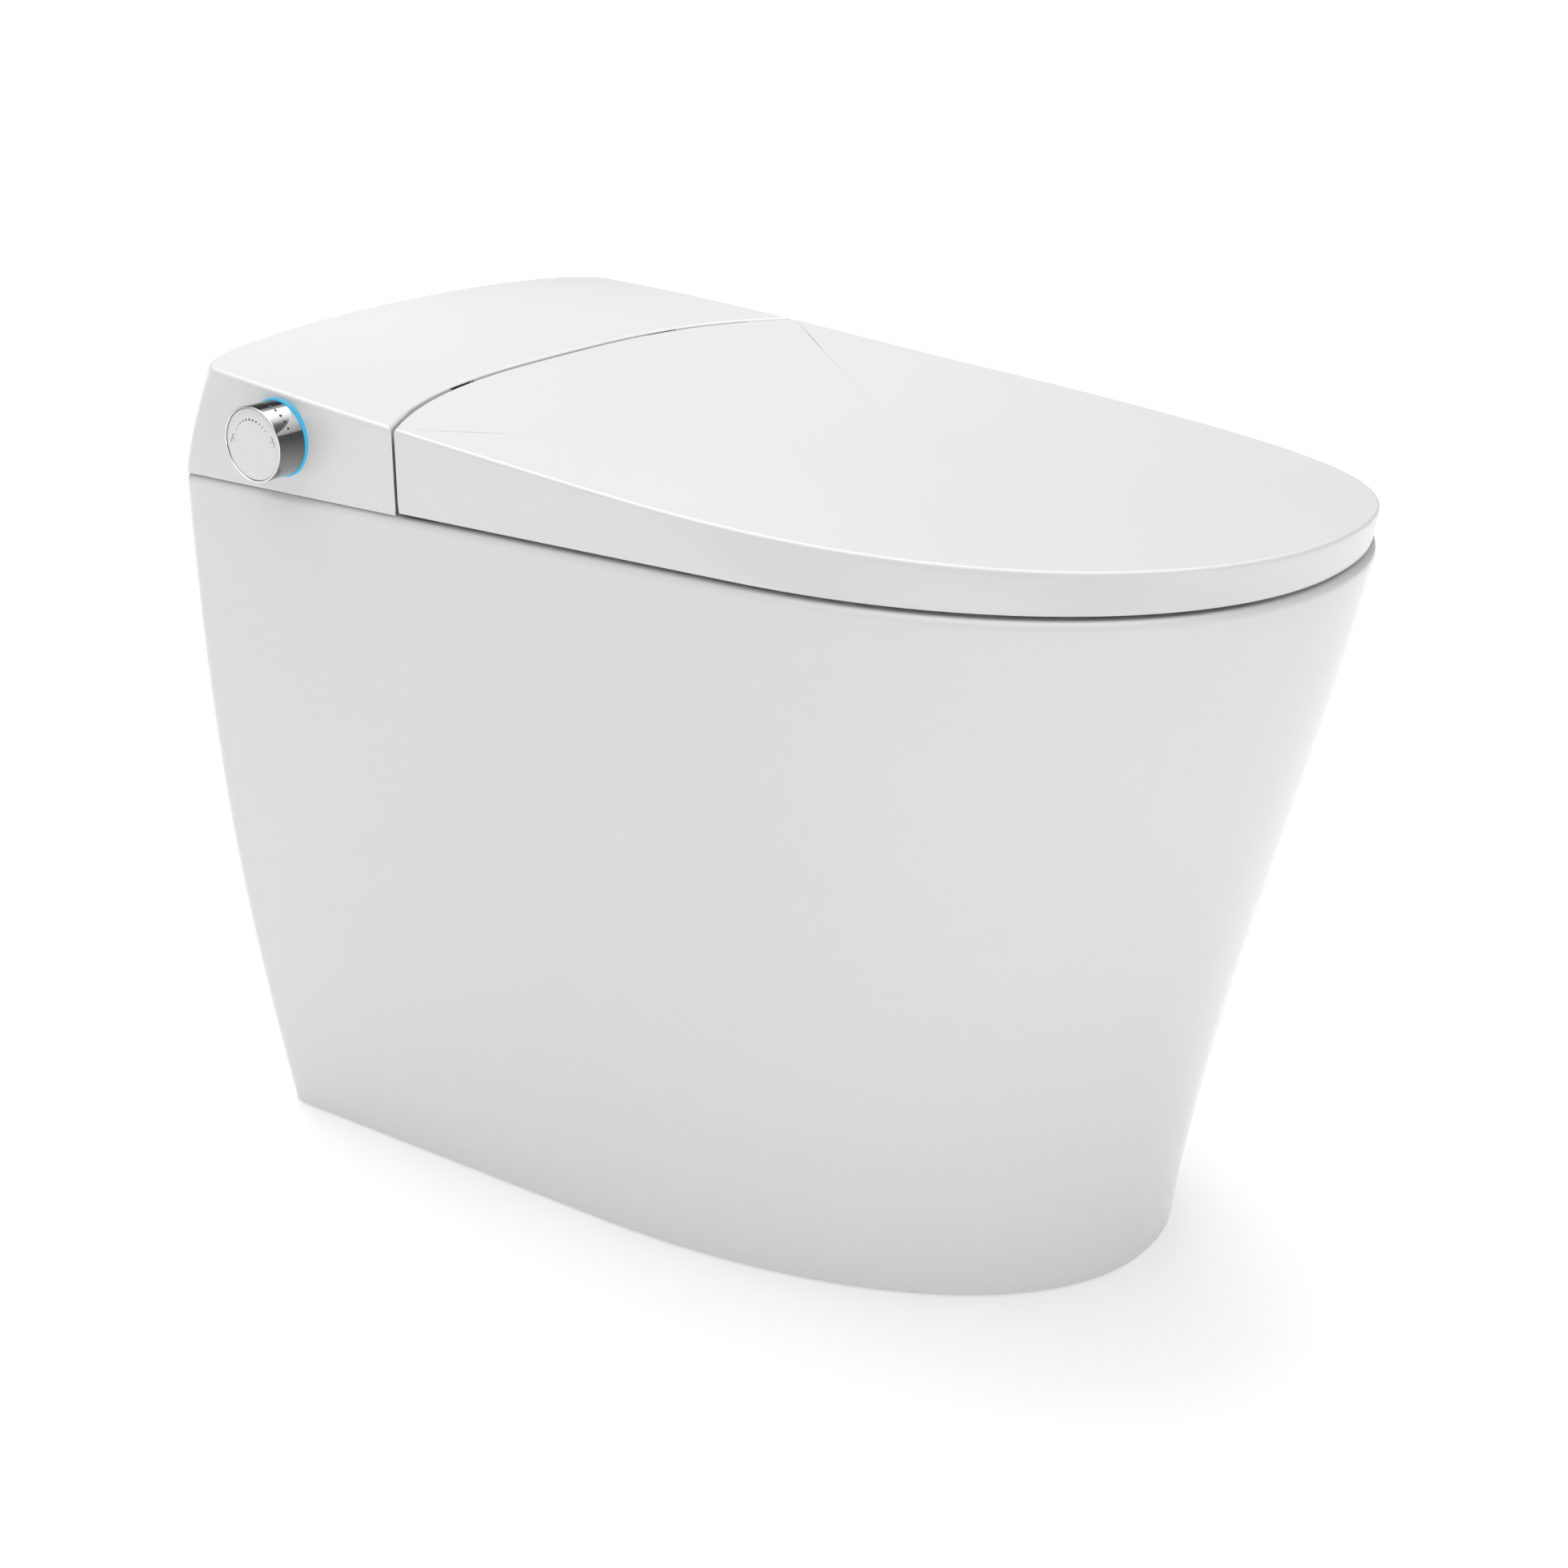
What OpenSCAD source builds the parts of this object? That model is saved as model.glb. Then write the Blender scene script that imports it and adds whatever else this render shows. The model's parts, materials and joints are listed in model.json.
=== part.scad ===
// One-piece electronic bidet toilet: skirted ceramic pedestal, rear service
// housing, flush lid and heated seat, retracting wands, dryer and side knob.
// The origin is the floor outlet's axis at floor level. The wall is towards +Y
// and the knob is on the -X side. Lengths marked "from the back" run forward
// from the rim's rear edge.

/* [Ceramic body] */
// Width across the rim
rim_w = 396; // [386:1:406]
// Rim length from the back to the front tip
rim_len = 665; // [655:1:675]
// Height of the rim
rim_h = 435; // [430:1:440]
// Width of the foot
foot_w = 330; // [320:1:340]
// Foot's front tip, from the back
foot_len = 578; // [570:1:590]
// Foot's rear edge, from the back
foot_back = 16; // [10:1:20]
// Ceramic wall thickness
china_t = 11; // [9:1:12]
// Outlet axis, from the back
outlet_s = 285; // [283:1:287]
// Bore radius of the trapway and outlet
trap_r = 26; // [24:0.5:27]

/* [Lid and rear housing] */
// Gap between the rim and the covers
cover_gap = 2.5; // [2:0.5:3]
// Wall thickness of the lid and the housing
shell_t = 2.5; // [2.2:0.1:2.8]
// Width of the seam between lid and housing
seam_gap = 2.2; // [2:0.1:2.6]
// Seam position at the sides, from the back
seam_side = 182.5; // [178:0.5:186]
// How far the seam bows to the rear in the middle
seam_bow = 41.4; // [39:0.2:43]
// Crown of the housing's top at the back
rear_crown = 7; // [0:0.5:9]

/* [Hinge] */
// Hinge axis, from the back
hinge_s = 127; // [126:0.5:128]
// Hinge axis height
hinge_z = 480; // [479:0.5:480.5]
// Hinge shaft radius
hinge_r = 4; // [3.5:0.1:4.5]
// Radial running clearance
run_gap = 0.05; // [0.02:0.01:0.1]

/* [Wands] */
// Slope of the wands below horizontal, in degrees
wand_tilt = 15; // [14:0.5:16]
// Wand radius
wand_r = 6; // [5.5:0.1:6.2]
// Sideways offset of each wand
wand_x = 14; // [14:0.5:15]

/* [Knob] */
// Knob axis, from the back
knob_s = 92; // [88:1:94]
// Knob axis height
knob_z = 468; // [466:0.5:470]
// Knob radius
knob_r = 22; // [20:0.5:22.5]
// Knob length outside the light ring
knob_len = 20; // [18:1:21]

/* [Hidden] */

$fn = 48;
cover_z = rim_h + cover_gap;
rim_r = 4;                  // rounding of the rim's outer edge
rim_side = 420;             // where the rim starts to curve in, from the back
foot_side = 276;            // the same at the floor
nose = 2.17;                // superellipse power of the plan's front
back_in = 2;                // how much narrower each side is at the back
corner_r = 18;              // rear corner radius of the rim
bowl_s = 425;               // middle of the bowl's opening, from the back
bowl_front = 190;           // the opening's reach forward of bowl_s
bowl_back = 200;            // and rearward
bowl_half = 142;            // half width of the opening
sump_s = 400;
sump_z = 74;                    // bottom of the sump
sump_r = 38;
well_z = 152;                   // top of the sump's straight wall
trap_t = 7;
tray_z = rim_h + 1;
tray_t = 3;
deck_open = [95, 35, 120];      // half width, first and last s of the tank opening
notch = [76, 120, 262, 400];    // half width, first and last s, floor of the wand notch

// ---- general helpers

function y(s) = outlet_s - s;
function bez(a, b, c, d, t) =
    a*pow(1 - t, 3) + 3*b*t*pow(1 - t, 2) + 3*c*t*t*(1 - t) + d*t*t*t;
// parameter of the cubic from 0 to 1 with inner ordinates h1, h2 at height v
function bez_at(h1, h2, v, lo = 0, hi = 1, n = 18) =
    n == 0 ? (lo + hi)/2 :
    bez(0, h1, h2, 1, (lo + hi)/2) < v ? bez_at(h1, h2, v, (lo + hi)/2, hi, n - 1)
                                       : bez_at(h1, h2, v, lo, (lo + hi)/2, n - 1);
function mix(a, b, t) = a + (b - a)*t;
function mirrored(half) = concat(half, [
    for (i = [len(half) - 2 : -1 : 1]) [-half[i][0], half[i][1]]]);
function unit(v) = v/norm(v);
// moves each point of a closed anticlockwise outline inwards by d
function inset(p, d) = [
    for (i = [0 : len(p) - 1])
        let (q = p[(i + 1) % len(p)] - p[(i + len(p) - 1) % len(p)])
        p[i] + d*unit([-q[1], q[0]])];

// solid in X of an outline given as [y, z]
module across(points, x0, x1) {
    translate([x0, 0, 0])
        rotate([90, 0, 90]) linear_extrude(x1 - x0) polygon(points);
}
module on_x(x, s, z) {
    translate([x, y(s), z]) rotate([0, 90, 0]) children();
}
module both_sides() {
    children();
    mirror([1, 0, 0]) children();
}
module box(x0, x1, s0, s1, z0, z1) {
    translate([x0, y(s1), z0]) cube([x1 - x0, s1 - s0, z1 - z0]);
}
module round_box(x0, x1, s0, s1, z0, z1, r) {
    translate([x0, y(s1), z0]) linear_extrude(z1 - z0) union() {
        translate([r, 0]) square([x1 - x0 - 2*r, s1 - s0]);
        translate([0, r]) square([x1 - x0, s1 - s0 - 2*r]);
        for (a = [r, x1 - x0 - r], b = [r, s1 - s0 - r]) translate([a, b]) circle(r);
    }
}
module screw(len, r = 1.5, head = 3) {
    cylinder(r = r, h = len);
    translate([0, 0, len - 0.01]) cylinder(r = head, h = 2.01);
}

// ---- plan outlines, anticlockwise seen from above, as [x, y]

// half outline from the middle of the back round to the front tip
function half_plan(s0, L, W, s1, n, kb, rc) =
    let (wb = W/2 - kb)
    concat(
        [for (i = [0 : 3]) [(wb - rc)*i/4, s0]],
        [for (a = [0 : 30 : 90]) [wb - rc + rc*sin(a), s0 + rc - rc*cos(a)]],
        [for (i = [1 : 6])
            let (s = s0 + rc + (s1 - s0 - rc)*i/7)
            [W/2 - kb*pow((s1 - s)/(s1 - s0 - rc), 2), s]],
        [for (i = [0 : 16]) let (a = 90*i/16)
            [W/2*pow(cos(a), 2/n), s1 + (L - s1)*pow(sin(a), 2/n)]]);
function plan(s0, L, W, s1, n, kb, rc) =
    [for (p = mirrored(half_plan(s0, L, W, s1, n, kb, rc))) [-p[0], y(p[1])]];

// ---- ceramic body

function body_w(v) = bez(foot_w, foot_w + 37.6, rim_w + 1, rim_w, bez_at(0.297, 0.538, v));
function body_len(v) = bez(foot_len, foot_len + 12.3, rim_len - 18.4, rim_len,
                           bez_at(0.321, 0.719, v));
function body_plan(z) =
    let (v = z/rim_h, W = body_w(v), L = body_len(v),
         a = min(1, (W - foot_w)/(rim_w - foot_w)),
         b = (L - foot_len)/(rim_len - foot_len))
    plan(foot_back*pow(1 - a, 1.14), L, W, mix(foot_side, rim_side, b), nose,
         back_in*a, corner_r);
rim_plan = body_plan(rim_h);
// bowl outline at share k between the sump's circle and the opening; grow widens it
function bowl_plan(k, grow = 0) = [
    for (p = rim_plan)
        let (v = p - [0, y(bowl_s)], d = unit(v), n = mix(2, 2.2, k),
             ly = mix(sump_r, d[1] < 0 ? bowl_front : bowl_back, k) + grow,
             lx = mix(sump_r, bowl_half, k) + grow,
             r = pow(pow(abs(d[0])/lx, n) + pow(abs(d[1])/ly, n), -1/n))
        [0, y(mix(sump_s, bowl_s, k))] + r*d];
function at_z(points, z) = [for (p = points) [p[0], p[1], z]];
bowl_steps = [0, 0.06, 0.16, 0.3, 0.5, 0.75, 1];
function bowl_rings(grow, drop) = concat(
    [at_z(bowl_plan(0, grow - 8), sump_z - drop), at_z(bowl_plan(0, grow), sump_z + 8 - drop)],
    [for (q = bowl_steps)
        at_z(bowl_plan(pow(sin(90*q), 0.85), grow),
             mix(well_z, rim_h - 6, q) - (q == 1 ? 0 : drop/2))]);
body_steps = [for (i = [0 : 12]) i/12];

module ring_solid(rings) {
    n = len(rings[0]);
    m = len(rings);
    polyhedron(
        [for (r = rings) for (p = r) p],
        concat(
            [[for (i = [n - 1 : -1 : 0]) i]],
            [for (k = [0 : m - 2], i = [0 : n - 1])
                let (j = (i + 1) % n) [k*n + i, k*n + j, (k + 1)*n + j, (k + 1)*n + i]],
            [[for (i = [0 : n - 1]) (m - 1)*n + i]]));
}
module china_shell() {
    under = bowl_rings(china_t, china_t);
    ring_solid(concat(
        bowl_rings(0, 0),
        [at_z(bowl_plan(1, 2), rim_h - 2), at_z(bowl_plan(1, 6), rim_h)],
        [at_z(inset(rim_plan, rim_r), rim_h),
         at_z(inset(rim_plan, rim_r*0.3), rim_h - rim_r*0.3)],
        [for (i = [12 : -1 : 0])
            let (z = (rim_h - rim_r)*body_steps[i]) at_z(body_plan(z), z)],
        [for (i = [0 : 2 : 12])
            let (z = (rim_h - china_t)*body_steps[i])
            at_z(inset(body_plan(z), china_t), z)],
        [at_z(bowl_plan(1, china_t), rim_h - china_t)],
        [for (i = [len(under) - 2 : -1 : 0]) under[i]]));
}

// trapway centre line in [y, z]: back from the sump, up, over the weir, to the outlet
trap_in = [-68, 112];
trap_lead = 10;
turn_r = 45;            // bend behind the sump and bend above the outlet
trap_up = 50;           // slope of the rising leg
trap_leg = 80;
weir_r = 50;
fall = -150;            // heading of the falling leg
function head(a) = [cos(a), sin(a)];
function left(a) = [-sin(a), cos(a)];
turn_c = trap_in + [trap_lead, turn_r];
turn_b = turn_c - turn_r*left(trap_up);
weir_a = turn_b + trap_leg*head(trap_up);
weir_c = weir_a - weir_r*left(trap_up);
weir_b = weir_c + weir_r*left(fall);
fall_len = (weir_b[0] - turn_r*(1 - left(fall)[0]))/-head(fall)[0];
foot_c = weir_b + fall_len*head(fall) + turn_r*left(fall);
// stations along the path as [point, heading]
trap_path = concat(
    [[trap_in, 0]],
    [for (h = [0 : 10 : trap_up]) [turn_c - turn_r*left(h), h]],
    [for (h = [trap_up : -12.5 : fall]) [weir_c + weir_r*left(h), h]],
    [for (h = [fall : 12 : -90]) [foot_c - turn_r*left(h), h]],
    [[[0, foot_c[1] - 4], -90]]);
tube_sides = 24;
function tube_ring(st, r) = [for (i = [0 : tube_sides - 1])
    let (a = 360*i/tube_sides, n = left(st[1]))
    [r*cos(a), st[0][0] + r*sin(a)*n[0], st[0][1] + r*sin(a)*n[1]]];
module trap_tube(r_out, r_in) {
    n = tube_sides;
    rings = concat([for (st = trap_path) tube_ring(st, r_out)],
                   [for (i = [len(trap_path) - 1 : -1 : 0]) tube_ring(trap_path[i], r_in)]);
    m = len(rings);
    polyhedron(
        [for (r = rings) for (q = r) q],
        [for (k = [0 : m - 1], i = [0 : n - 1])
            let (j = (i + 1) % n, next = (k + 1) % m)
            [k*n + i, k*n + j, next*n + j, next*n + i]]);
}
horn_r = trap_r + trap_t + 3;       // outlet horn's outside
module trapway() {
    color("ghostwhite") difference() {
        union() {
            trap_tube(trap_r + trap_t, trap_r + 0.6);
            difference() {
                cylinder(r = horn_r, h = foot_c[1]);
                translate([0, 0, -1]) cylinder(r = trap_r, h = foot_c[1] + 2);
            }
        }
        translate([0, y(sump_s), 50]) cylinder(r = sump_r + china_t + 0.3, h = 120);
    }
}

module china_body() {
    color("ghostwhite") difference() {
        china_shell();
        translate([0, y(sump_s), trap_in[1]]) rotate([-90, 0, 0])
            cylinder(r = trap_r, h = 60);
        box(-deck_open[0], deck_open[0], deck_open[1], deck_open[2], 400, rim_h + 5);
        box(-notch[0], notch[0], notch[1] - 1, notch[2], notch[3], rim_h + 5);
        for (x = [-bolt_x, bolt_x])
            translate([x, y(bolt_s), rim_h - 30]) cylinder(r = bolt_r + 1, h = 40);
        box(-service[0], service[0], -5, 40, service[1], service[2]);
    }
}
service = [95, 70, 330];        // half width, lowest and highest z of the rear opening
bolt_x = 150;
bolt_s = 105;
bolt_r = 4;
module floor_seal() {
    color("gray") difference() {
        cylinder(r = horn_r + 12, h = 24);
        translate([0, 0, -1]) cylinder(r = horn_r + 0.1, h = 26);
    }
}

// ---- covers

top_len = rim_len + 1;
// height of the lid and housing's top at distance s from the back
function top_z(s) = bez(501.2, 487.2, 447, 459.9, s/top_len);
cover_side = 350;           // where the lid starts to curve in, from the back
cover_in = 6;               // how much narrower the back is on each side
cover_w = rim_w - 2;
function cover_half(s) = cover_w/2 - cover_in*pow(max(0, cover_side - s)/cover_side, 2);
function seam(u) = seam_side - seam_bow*(1 - pow(abs(u), 2.84));
seam_u = [for (i = [-12 : 12]) sin(90*i/12)];

// side view of the space between two curves of height, as [y, z]
steps_s = [for (i = [0 : 36]) -20 + 20*i];
function under(drop) = [for (s = steps_s) [y(s), top_z(max(s, 0)) - drop]];
module slab(low, high, w) {
    across(concat(under(high), [for (i = [36 : -1 : 0]) under(low)[i]]), -w, w);
}
module below(drop, floor_z) {
    across(concat(under(drop), [[y(700), floor_z], [y(-20), floor_z]]), -250, 250);
}
// half plan of the lid from the seam forward; d insets it
function lid_edge(d) =
    let (s0 = seam_side + seam_gap/2)
    concat(
        [for (i = [0 : 5]) let (s = mix(s0, cover_side, i/6)) [cover_half(s) - d, s]],
        [for (i = [0 : 24]) let (a = 90*i/24)
            [(cover_w/2 - d)*pow(cos(a), 2/2.23),
             cover_side + (top_len - cover_side - d)*pow(sin(a), 2/2.23)]]);
// lid plan with its rear edge moved forward by back
function lid_plan(d, back) =
    let (e = lid_edge(d), n = len(e))
    concat(
        [for (u = seam_u)
            let (s = seam(u) + seam_gap/2 + back)
            [u*(cover_half(s) - d), y(s)]],
        [for (i = [1 : n - 1]) [e[i][0], y(e[i][1])]],
        [for (i = [n - 2 : -1 : 1]) [-e[i][0], y(e[i][1])]]);

module lid_shell() {
    color("white") difference() {
        intersection() {
            translate([0, 0, cover_z]) linear_extrude(80) polygon(lid_plan(0, 0));
            below(0, cover_z - 1);
        }
        intersection() {
            translate([0, 0, cover_z - 1]) linear_extrude(80)
                polygon(lid_plan(shell_t, -12));
            below(shell_t, cover_z - 2);
        }
    }
}
liner_t = 1.5;
lid_under = shell_t + liner_t;
module lid_liner() {
    color("whitesmoke") difference() {
        intersection() {
            slab(lid_under, shell_t, 250);
            translate([0, 0, cover_z]) linear_extrude(80)
                polygon(lid_plan(shell_t + 0.3, 2));
        }
        both_sides() for (f = lid_screws) lid_screw_at(f) cylinder(r = 1.5, h = 20);
    }
}
pad_r = 6;
module lid_bumpers() {
    color("gainsboro") for (p = [[150, 300], [105, 590]]) both_sides()
        intersection() {
            translate([p[0], y(p[1]), cover_z]) cylinder(r = pad_r, h = 60);
            slab(seat_drop - 0.4, lid_under, 250);
        }
}

// ---- rear housing

// plan of the housing at share u across and v from back to front; inset by d
back_reach = 2;
back_corner = 46;
function back_edge(u) = back_reach + back_corner*(1 - pow(1 - pow(abs(u), 3.7), 1/5));
function foot_edge(u) = corner_r*(1 - pow(1 - pow(abs(u), 24), 1/2));
function house_xy(u, v, rear, d) =
    let (s = mix(rear + d, seam(u) - seam_gap/2 - d, v))
    [u*(cover_half(s) - d), y(s)];
function crown(u, s) = rear_crown*(1 - u*u)*pow(max(0, seam_side - seam_bow - s)/140, 1.5);
house_u = [for (i = [-14 : 14]) sin(90*i/14)];
house_v = [for (i = [0 : 9]) pow(i/9, 1.3)];
function house_top(d) = [for (u = house_u, v = house_v)
    let (p = house_xy(u, v, back_edge(u), d))
    [p[0], p[1], top_z(max(0, y(p[1]))) + crown(u, y(p[1])) - d]];
nu = len(house_u);
nv = len(house_v);
house_loop = concat(
    [for (j = [0 : nv - 1]) j],
    [for (i = [1 : nu - 1]) i*nv + nv - 1],
    [for (j = [nv - 2 : -1 : 0]) (nu - 1)*nv + j],
    [for (i = [nu - 2 : -1 : 1]) i*nv]);
function house_foot(d) = [for (k = house_loop)
    let (u = house_u[floor(k/nv)], p = house_xy(u, house_v[k % nv], foot_edge(u), d))
    [p[0], p[1], cover_z]];
// outer top, outer foot, inner foot and inner top, joined into one closed sheet
module house_shell(d) {
    n = nu*nv;
    ne = len(house_loop);
    foot = n + ne;
    polyhedron(
        concat(house_top(0), house_foot(0), house_foot(d), house_top(d)),
        concat(
            [for (i = [0 : nu - 2], j = [0 : nv - 2])
                let (a = i*nv + j) [a, a + nv, a + nv + 1, a + 1]],
            [for (i = [0 : nu - 2], j = [0 : nv - 2])
                let (a = foot + ne + i*nv + j) [a, a + 1, a + nv + 1, a + nv]],
            [for (i = [0 : ne - 1])
                let (a = house_loop[i], b = house_loop[(i + 1) % ne],
                     i2 = (i + 1) % ne)
                each [[a, b, n + i2, n + i],
                      [n + i, n + i2, foot + i2, foot + i],
                      [foot + i, foot + i2, foot + ne + b, foot + ne + a]]]));
}
arm_zone = [84.5, 109.5, 445];      // inner x, outer x and floor of the arm slots
cover_screw = [130, 445];           // x and z of the rear screws
module housing_cover() {
    color("white") difference() {
        house_shell(shell_t);
        both_sides() intersection() {
            box(arm_zone[0], arm_zone[1], 120, 200, arm_zone[2], 500);
            below(shell_t + 0.3, 430);
        }
        box(-74, 74, 125, 200, cover_z - 1, 466);
        box(-172.3, 172.3, 100, 186.3, cover_z - 1, tray_top + 0.2);
        on_x(-250, knob_s, knob_z) cylinder(r = light_in, h = 100);
        both_sides() translate([cover_screw[0], y(40), cover_screw[1]])
            rotate([-90, 0, 0]) cylinder(r = 1.7, h = 80);
    }
}
module housing_screws() {
    color("silver") both_sides() translate([cover_screw[0], y(16), cover_screw[1]])
        rotate([-90, 0, 0]) screw(19.5);
}

// ---- chassis

tray_top = tray_z + tray_t;
module deck_gasket() {
    color("dimgray") difference() {
        round_box(-168, 168, 18, 184, rim_h, tray_z, 12);
        round_box(-158, 158, 28, 174, rim_h - 1, tray_z + 1, 8);
        box(-78, 78, 120, 200, rim_h - 1, tray_z + 1);
    }
}
posts = [[76, 84.3], [110, 119.8]];     // x spans of the hinge posts
post_r = 7;
module chassis_tray() {
    color("lightgray") difference() {
        union() {
            round_box(-172, 172, 14, 186, tray_z, tray_top, 14);
            both_sides() for (p = posts) {
                on_x(p[0], hinge_s, hinge_z) cylinder(r = post_r, h = p[1] - p[0]);
                box(p[0], p[1], hinge_s - post_r, hinge_s + post_r, tray_top - 0.5, hinge_z);
            }
            both_sides() box(122, 138, 20, 27, tray_top - 0.5, tray_top + 16);
        }
        box(-73, 73, 124, 200, tray_z - 1, tray_top + 1);
        both_sides() on_x(70, hinge_s, hinge_z) cylinder(r = hinge_r + run_gap, h = 60);
        both_sides() translate([bolt_x, y(bolt_s), tray_z - 1])
            cylinder(r = bolt_r + 0.3, h = 10);
        both_sides() translate([cover_screw[0], y(35), cover_screw[1]])
            rotate([-90, 0, 0]) cylinder(r = 1.5, h = 20);
        translate([gland[0], y(gland[1]), tray_z - 1]) cylinder(r = 7.1, h = 10);
    }
}
module chassis_bolts() {
    color("silver") both_sides() translate([bolt_x, y(bolt_s), 0]) {
        translate([0, 0, rim_h - 30]) cylinder(r = bolt_r, h = 30 + 1 + tray_t + 0.5);
        translate([0, 0, tray_top]) cylinder(r = 8, h = 1.5);
        translate([0, 0, tray_top + 1.4]) cylinder(r = 6.5, h = 5, $fn = 6);
        translate([0, 0, rim_h - china_t - 8]) cylinder(r = 10, h = 8 - 0.05);
    }
}

// ---- hinge

lid_x = [86, 96];
seat_x = [98, 108];
mouth_r = 24.5;
hook_r = 31.5;
hub_r = 7.2;
spoke = 7;
tab_drop = 9;
tab_end = 70;
// children drawn as [forward, up] from the hinge axis, extruded over a span of x
module hinge_plate(span) {
    translate([span[0], y(hinge_s), hinge_z]) rotate([90, 0, 90])
        linear_extrude(span[1] - span[0]) mirror([1, 0]) children();
}
module hook(a0, a1, at) {
    circle(hub_r);
    rotate(at) translate([0, -spoke/2]) square([mouth_r + 2, spoke]);
    intersection() {
        difference() {
            circle(hook_r);
            circle(mouth_r);
        }
        polygon(concat([[0, 0]], [for (i = [0 : 4]) 60*head(mix(a0, a1, i/4))]));
    }
}
function lid_ceiling(f) = top_z(hinge_s + f) - lid_under - hinge_z - 0.06;
tab_f = [for (s = steps_s) if (s - hinge_s > mouth_r && s - hinge_s < tab_end) s - hinge_s];
module lid_screw_at(f) {
    translate([(lid_x[0] + lid_x[1])/2, y(hinge_s + f), hinge_z - tab_drop]) children();
}
module lid_arm(bore) {
    difference() {
        hinge_plate(lid_x) difference() {
            union() {
                hook(-110, 2, -100);
                polygon(concat(
                    [[mouth_r, -6], [mouth_r, lid_ceiling(mouth_r)]],
                    [for (f = tab_f) [f, lid_ceiling(f)]],
                    [[tab_end, -tab_drop], [hook_r - 1, -tab_drop]]));
            }
            circle(bore);
        }
        for (f = lid_screws) lid_screw_at(f) translate([0, 0, -1]) cylinder(r = 1.5, h = 20);
    }
}
lid_screws = [44, 62];
module lid_arms() {
    color("lightgray") {
        lid_arm(hinge_r + run_gap);
        mirror([1, 0, 0]) lid_arm(hinge_r + 0.02);
    }
}
seat_z = cover_z;               // underside of the seat
base_t = 3;
module seat_arm(bore) {
    up = seat_z + base_t - hinge_z;
    difference() {
        hinge_plate(seat_x) difference() {
            union() {
                hook(-122, -56, -112);
                polygon([[12, -22], [60, up + 5.5], [98, up + 5.5], [98, up], [57, up],
                         [14, -28.5]]);
            }
            circle(bore);
        }
        for (f = seat_screws) seat_screw_at(f) cylinder(r = 1.5, h = 20);
    }
}
module seat_arms() {
    color("lightgray") {
        seat_arm(hinge_r + 0.02);
        mirror([1, 0, 0]) seat_arm(hinge_r + run_gap);
    }
}
module hinge_shaft() {
    on_x(74, hinge_s, hinge_z) cylinder(r = hinge_r, h = 72);
}
module lid_shaft() { color("silver") mirror([1, 0, 0]) hinge_shaft(); }
module seat_shaft() { color("silver") hinge_shaft(); }
module damper() {
    difference() {
        union() {
            on_x(120, hinge_s, hinge_z) cylinder(r = post_r, h = 34);
            box(124, 150, hinge_s - 4, hinge_s + 4, tray_top, hinge_z);
        }
        on_x(119, hinge_s, hinge_z) cylinder(r = hinge_r + run_gap, h = 30);
    }
}
module lid_damper() { color("darkslategray") mirror([1, 0, 0]) damper(); }
module seat_damper() { color("darkslategray") damper(); }
module lid_arm_screws() {
    color("silver") both_sides() for (f = lid_screws) lid_screw_at(f) {
        translate([0, 0, -1.6]) cylinder(r = 3, h = 1.6);
        translate([0, 0, -0.1]) cylinder(r = 1.5, h = tab_drop + lid_ceiling(f) + 1);
    }
}
seat_screws = [72, 88];
module seat_screw_at(f) {
    translate([(seat_x[0] + seat_x[1])/2, y(hinge_s + f), seat_z]) children();
}
module seat_arm_screws() {
    color("silver") both_sides() for (f = seat_screws) seat_screw_at(f) {
        translate([0, 0, -1.6]) cylinder(r = 3, h = 1.6);
        translate([0, 0, -0.1]) cylinder(r = 1.5, h = 7);
    }
}

// ---- seat

seat_back = 192;
seat_drop = lid_under + 2.2;        // seat's top below the lid's
seat_flat = 462;                    // the seat's highest level
function seat_top_z(s) = min(seat_flat, top_z(s) - seat_drop);
seat_side = 5.5;                    // seat's edge inside the lid's outline
hole_s = 422;
hole_front = 158;
hole_back = 160;
hole_half = 112;
function oval(grow) = [for (a = [0 : 5 : 355])
    let (c = cos(a), s = sin(a), n = 2/2.3,
         reach = (s > 0 ? hole_back : hole_front) + grow)
    [sign(c)*(hole_half + grow)*pow(abs(c), n), y(hole_s) + sign(s)*reach*pow(abs(s), n)]];
function seat_edge(d) =
    let (e = lid_edge(seat_side + d), n = len(e), w = e[1][0])
    concat(
        [for (i = [-4 : 4]) [(w - 8)*i/4, y(seat_back + d - 6*(1 - pow(i/4, 2)) + 6)]],
        [[w - 2, y(seat_back + d + 9)]],
        [for (i = [2 : n - 1]) [e[i][0], y(e[i][1])]],
        [for (i = [n - 2 : -1 : 2]) [-e[i][0], y(e[i][1])]],
        [[2 - w, y(seat_back + d + 9)]]);
module seat_ring(d, z, h) {
    translate([0, 0, z]) linear_extrude(h) difference() {
        polygon(seat_edge(d));
        polygon(oval(d));
    }
}
function seat_under(drop) = [for (s = steps_s) [y(s), seat_top_z(max(s, 0)) - drop]];
module seat_below(drop, floor_z) {
    across(concat(seat_under(drop), [[y(700), floor_z], [y(-20), floor_z]]), -250, 250);
}
seat_t = 3;
module seat_top() {
    z = seat_z + base_t;
    color("white") difference() {
        intersection() {
            seat_ring(0, z, 60);
            seat_below(0, z - 5);
        }
        intersection() {
            seat_ring(seat_t, z - 1, 60);
            seat_below(seat_t, z - 5);
        }
        both_sides() box(seat_x[0] - 0.4, seat_x[1] + 0.4, 180, 205, z - 1, z + 6);
    }
}
module seat_base() {
    color("white") difference() {
        seat_ring(0.4, seat_z, base_t);
        both_sides() for (f = seat_screws) seat_screw_at(f)
            translate([0, 0, -1]) cylinder(r = 1.5, h = 10);
    }
}
heater_t = 0.6;
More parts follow.
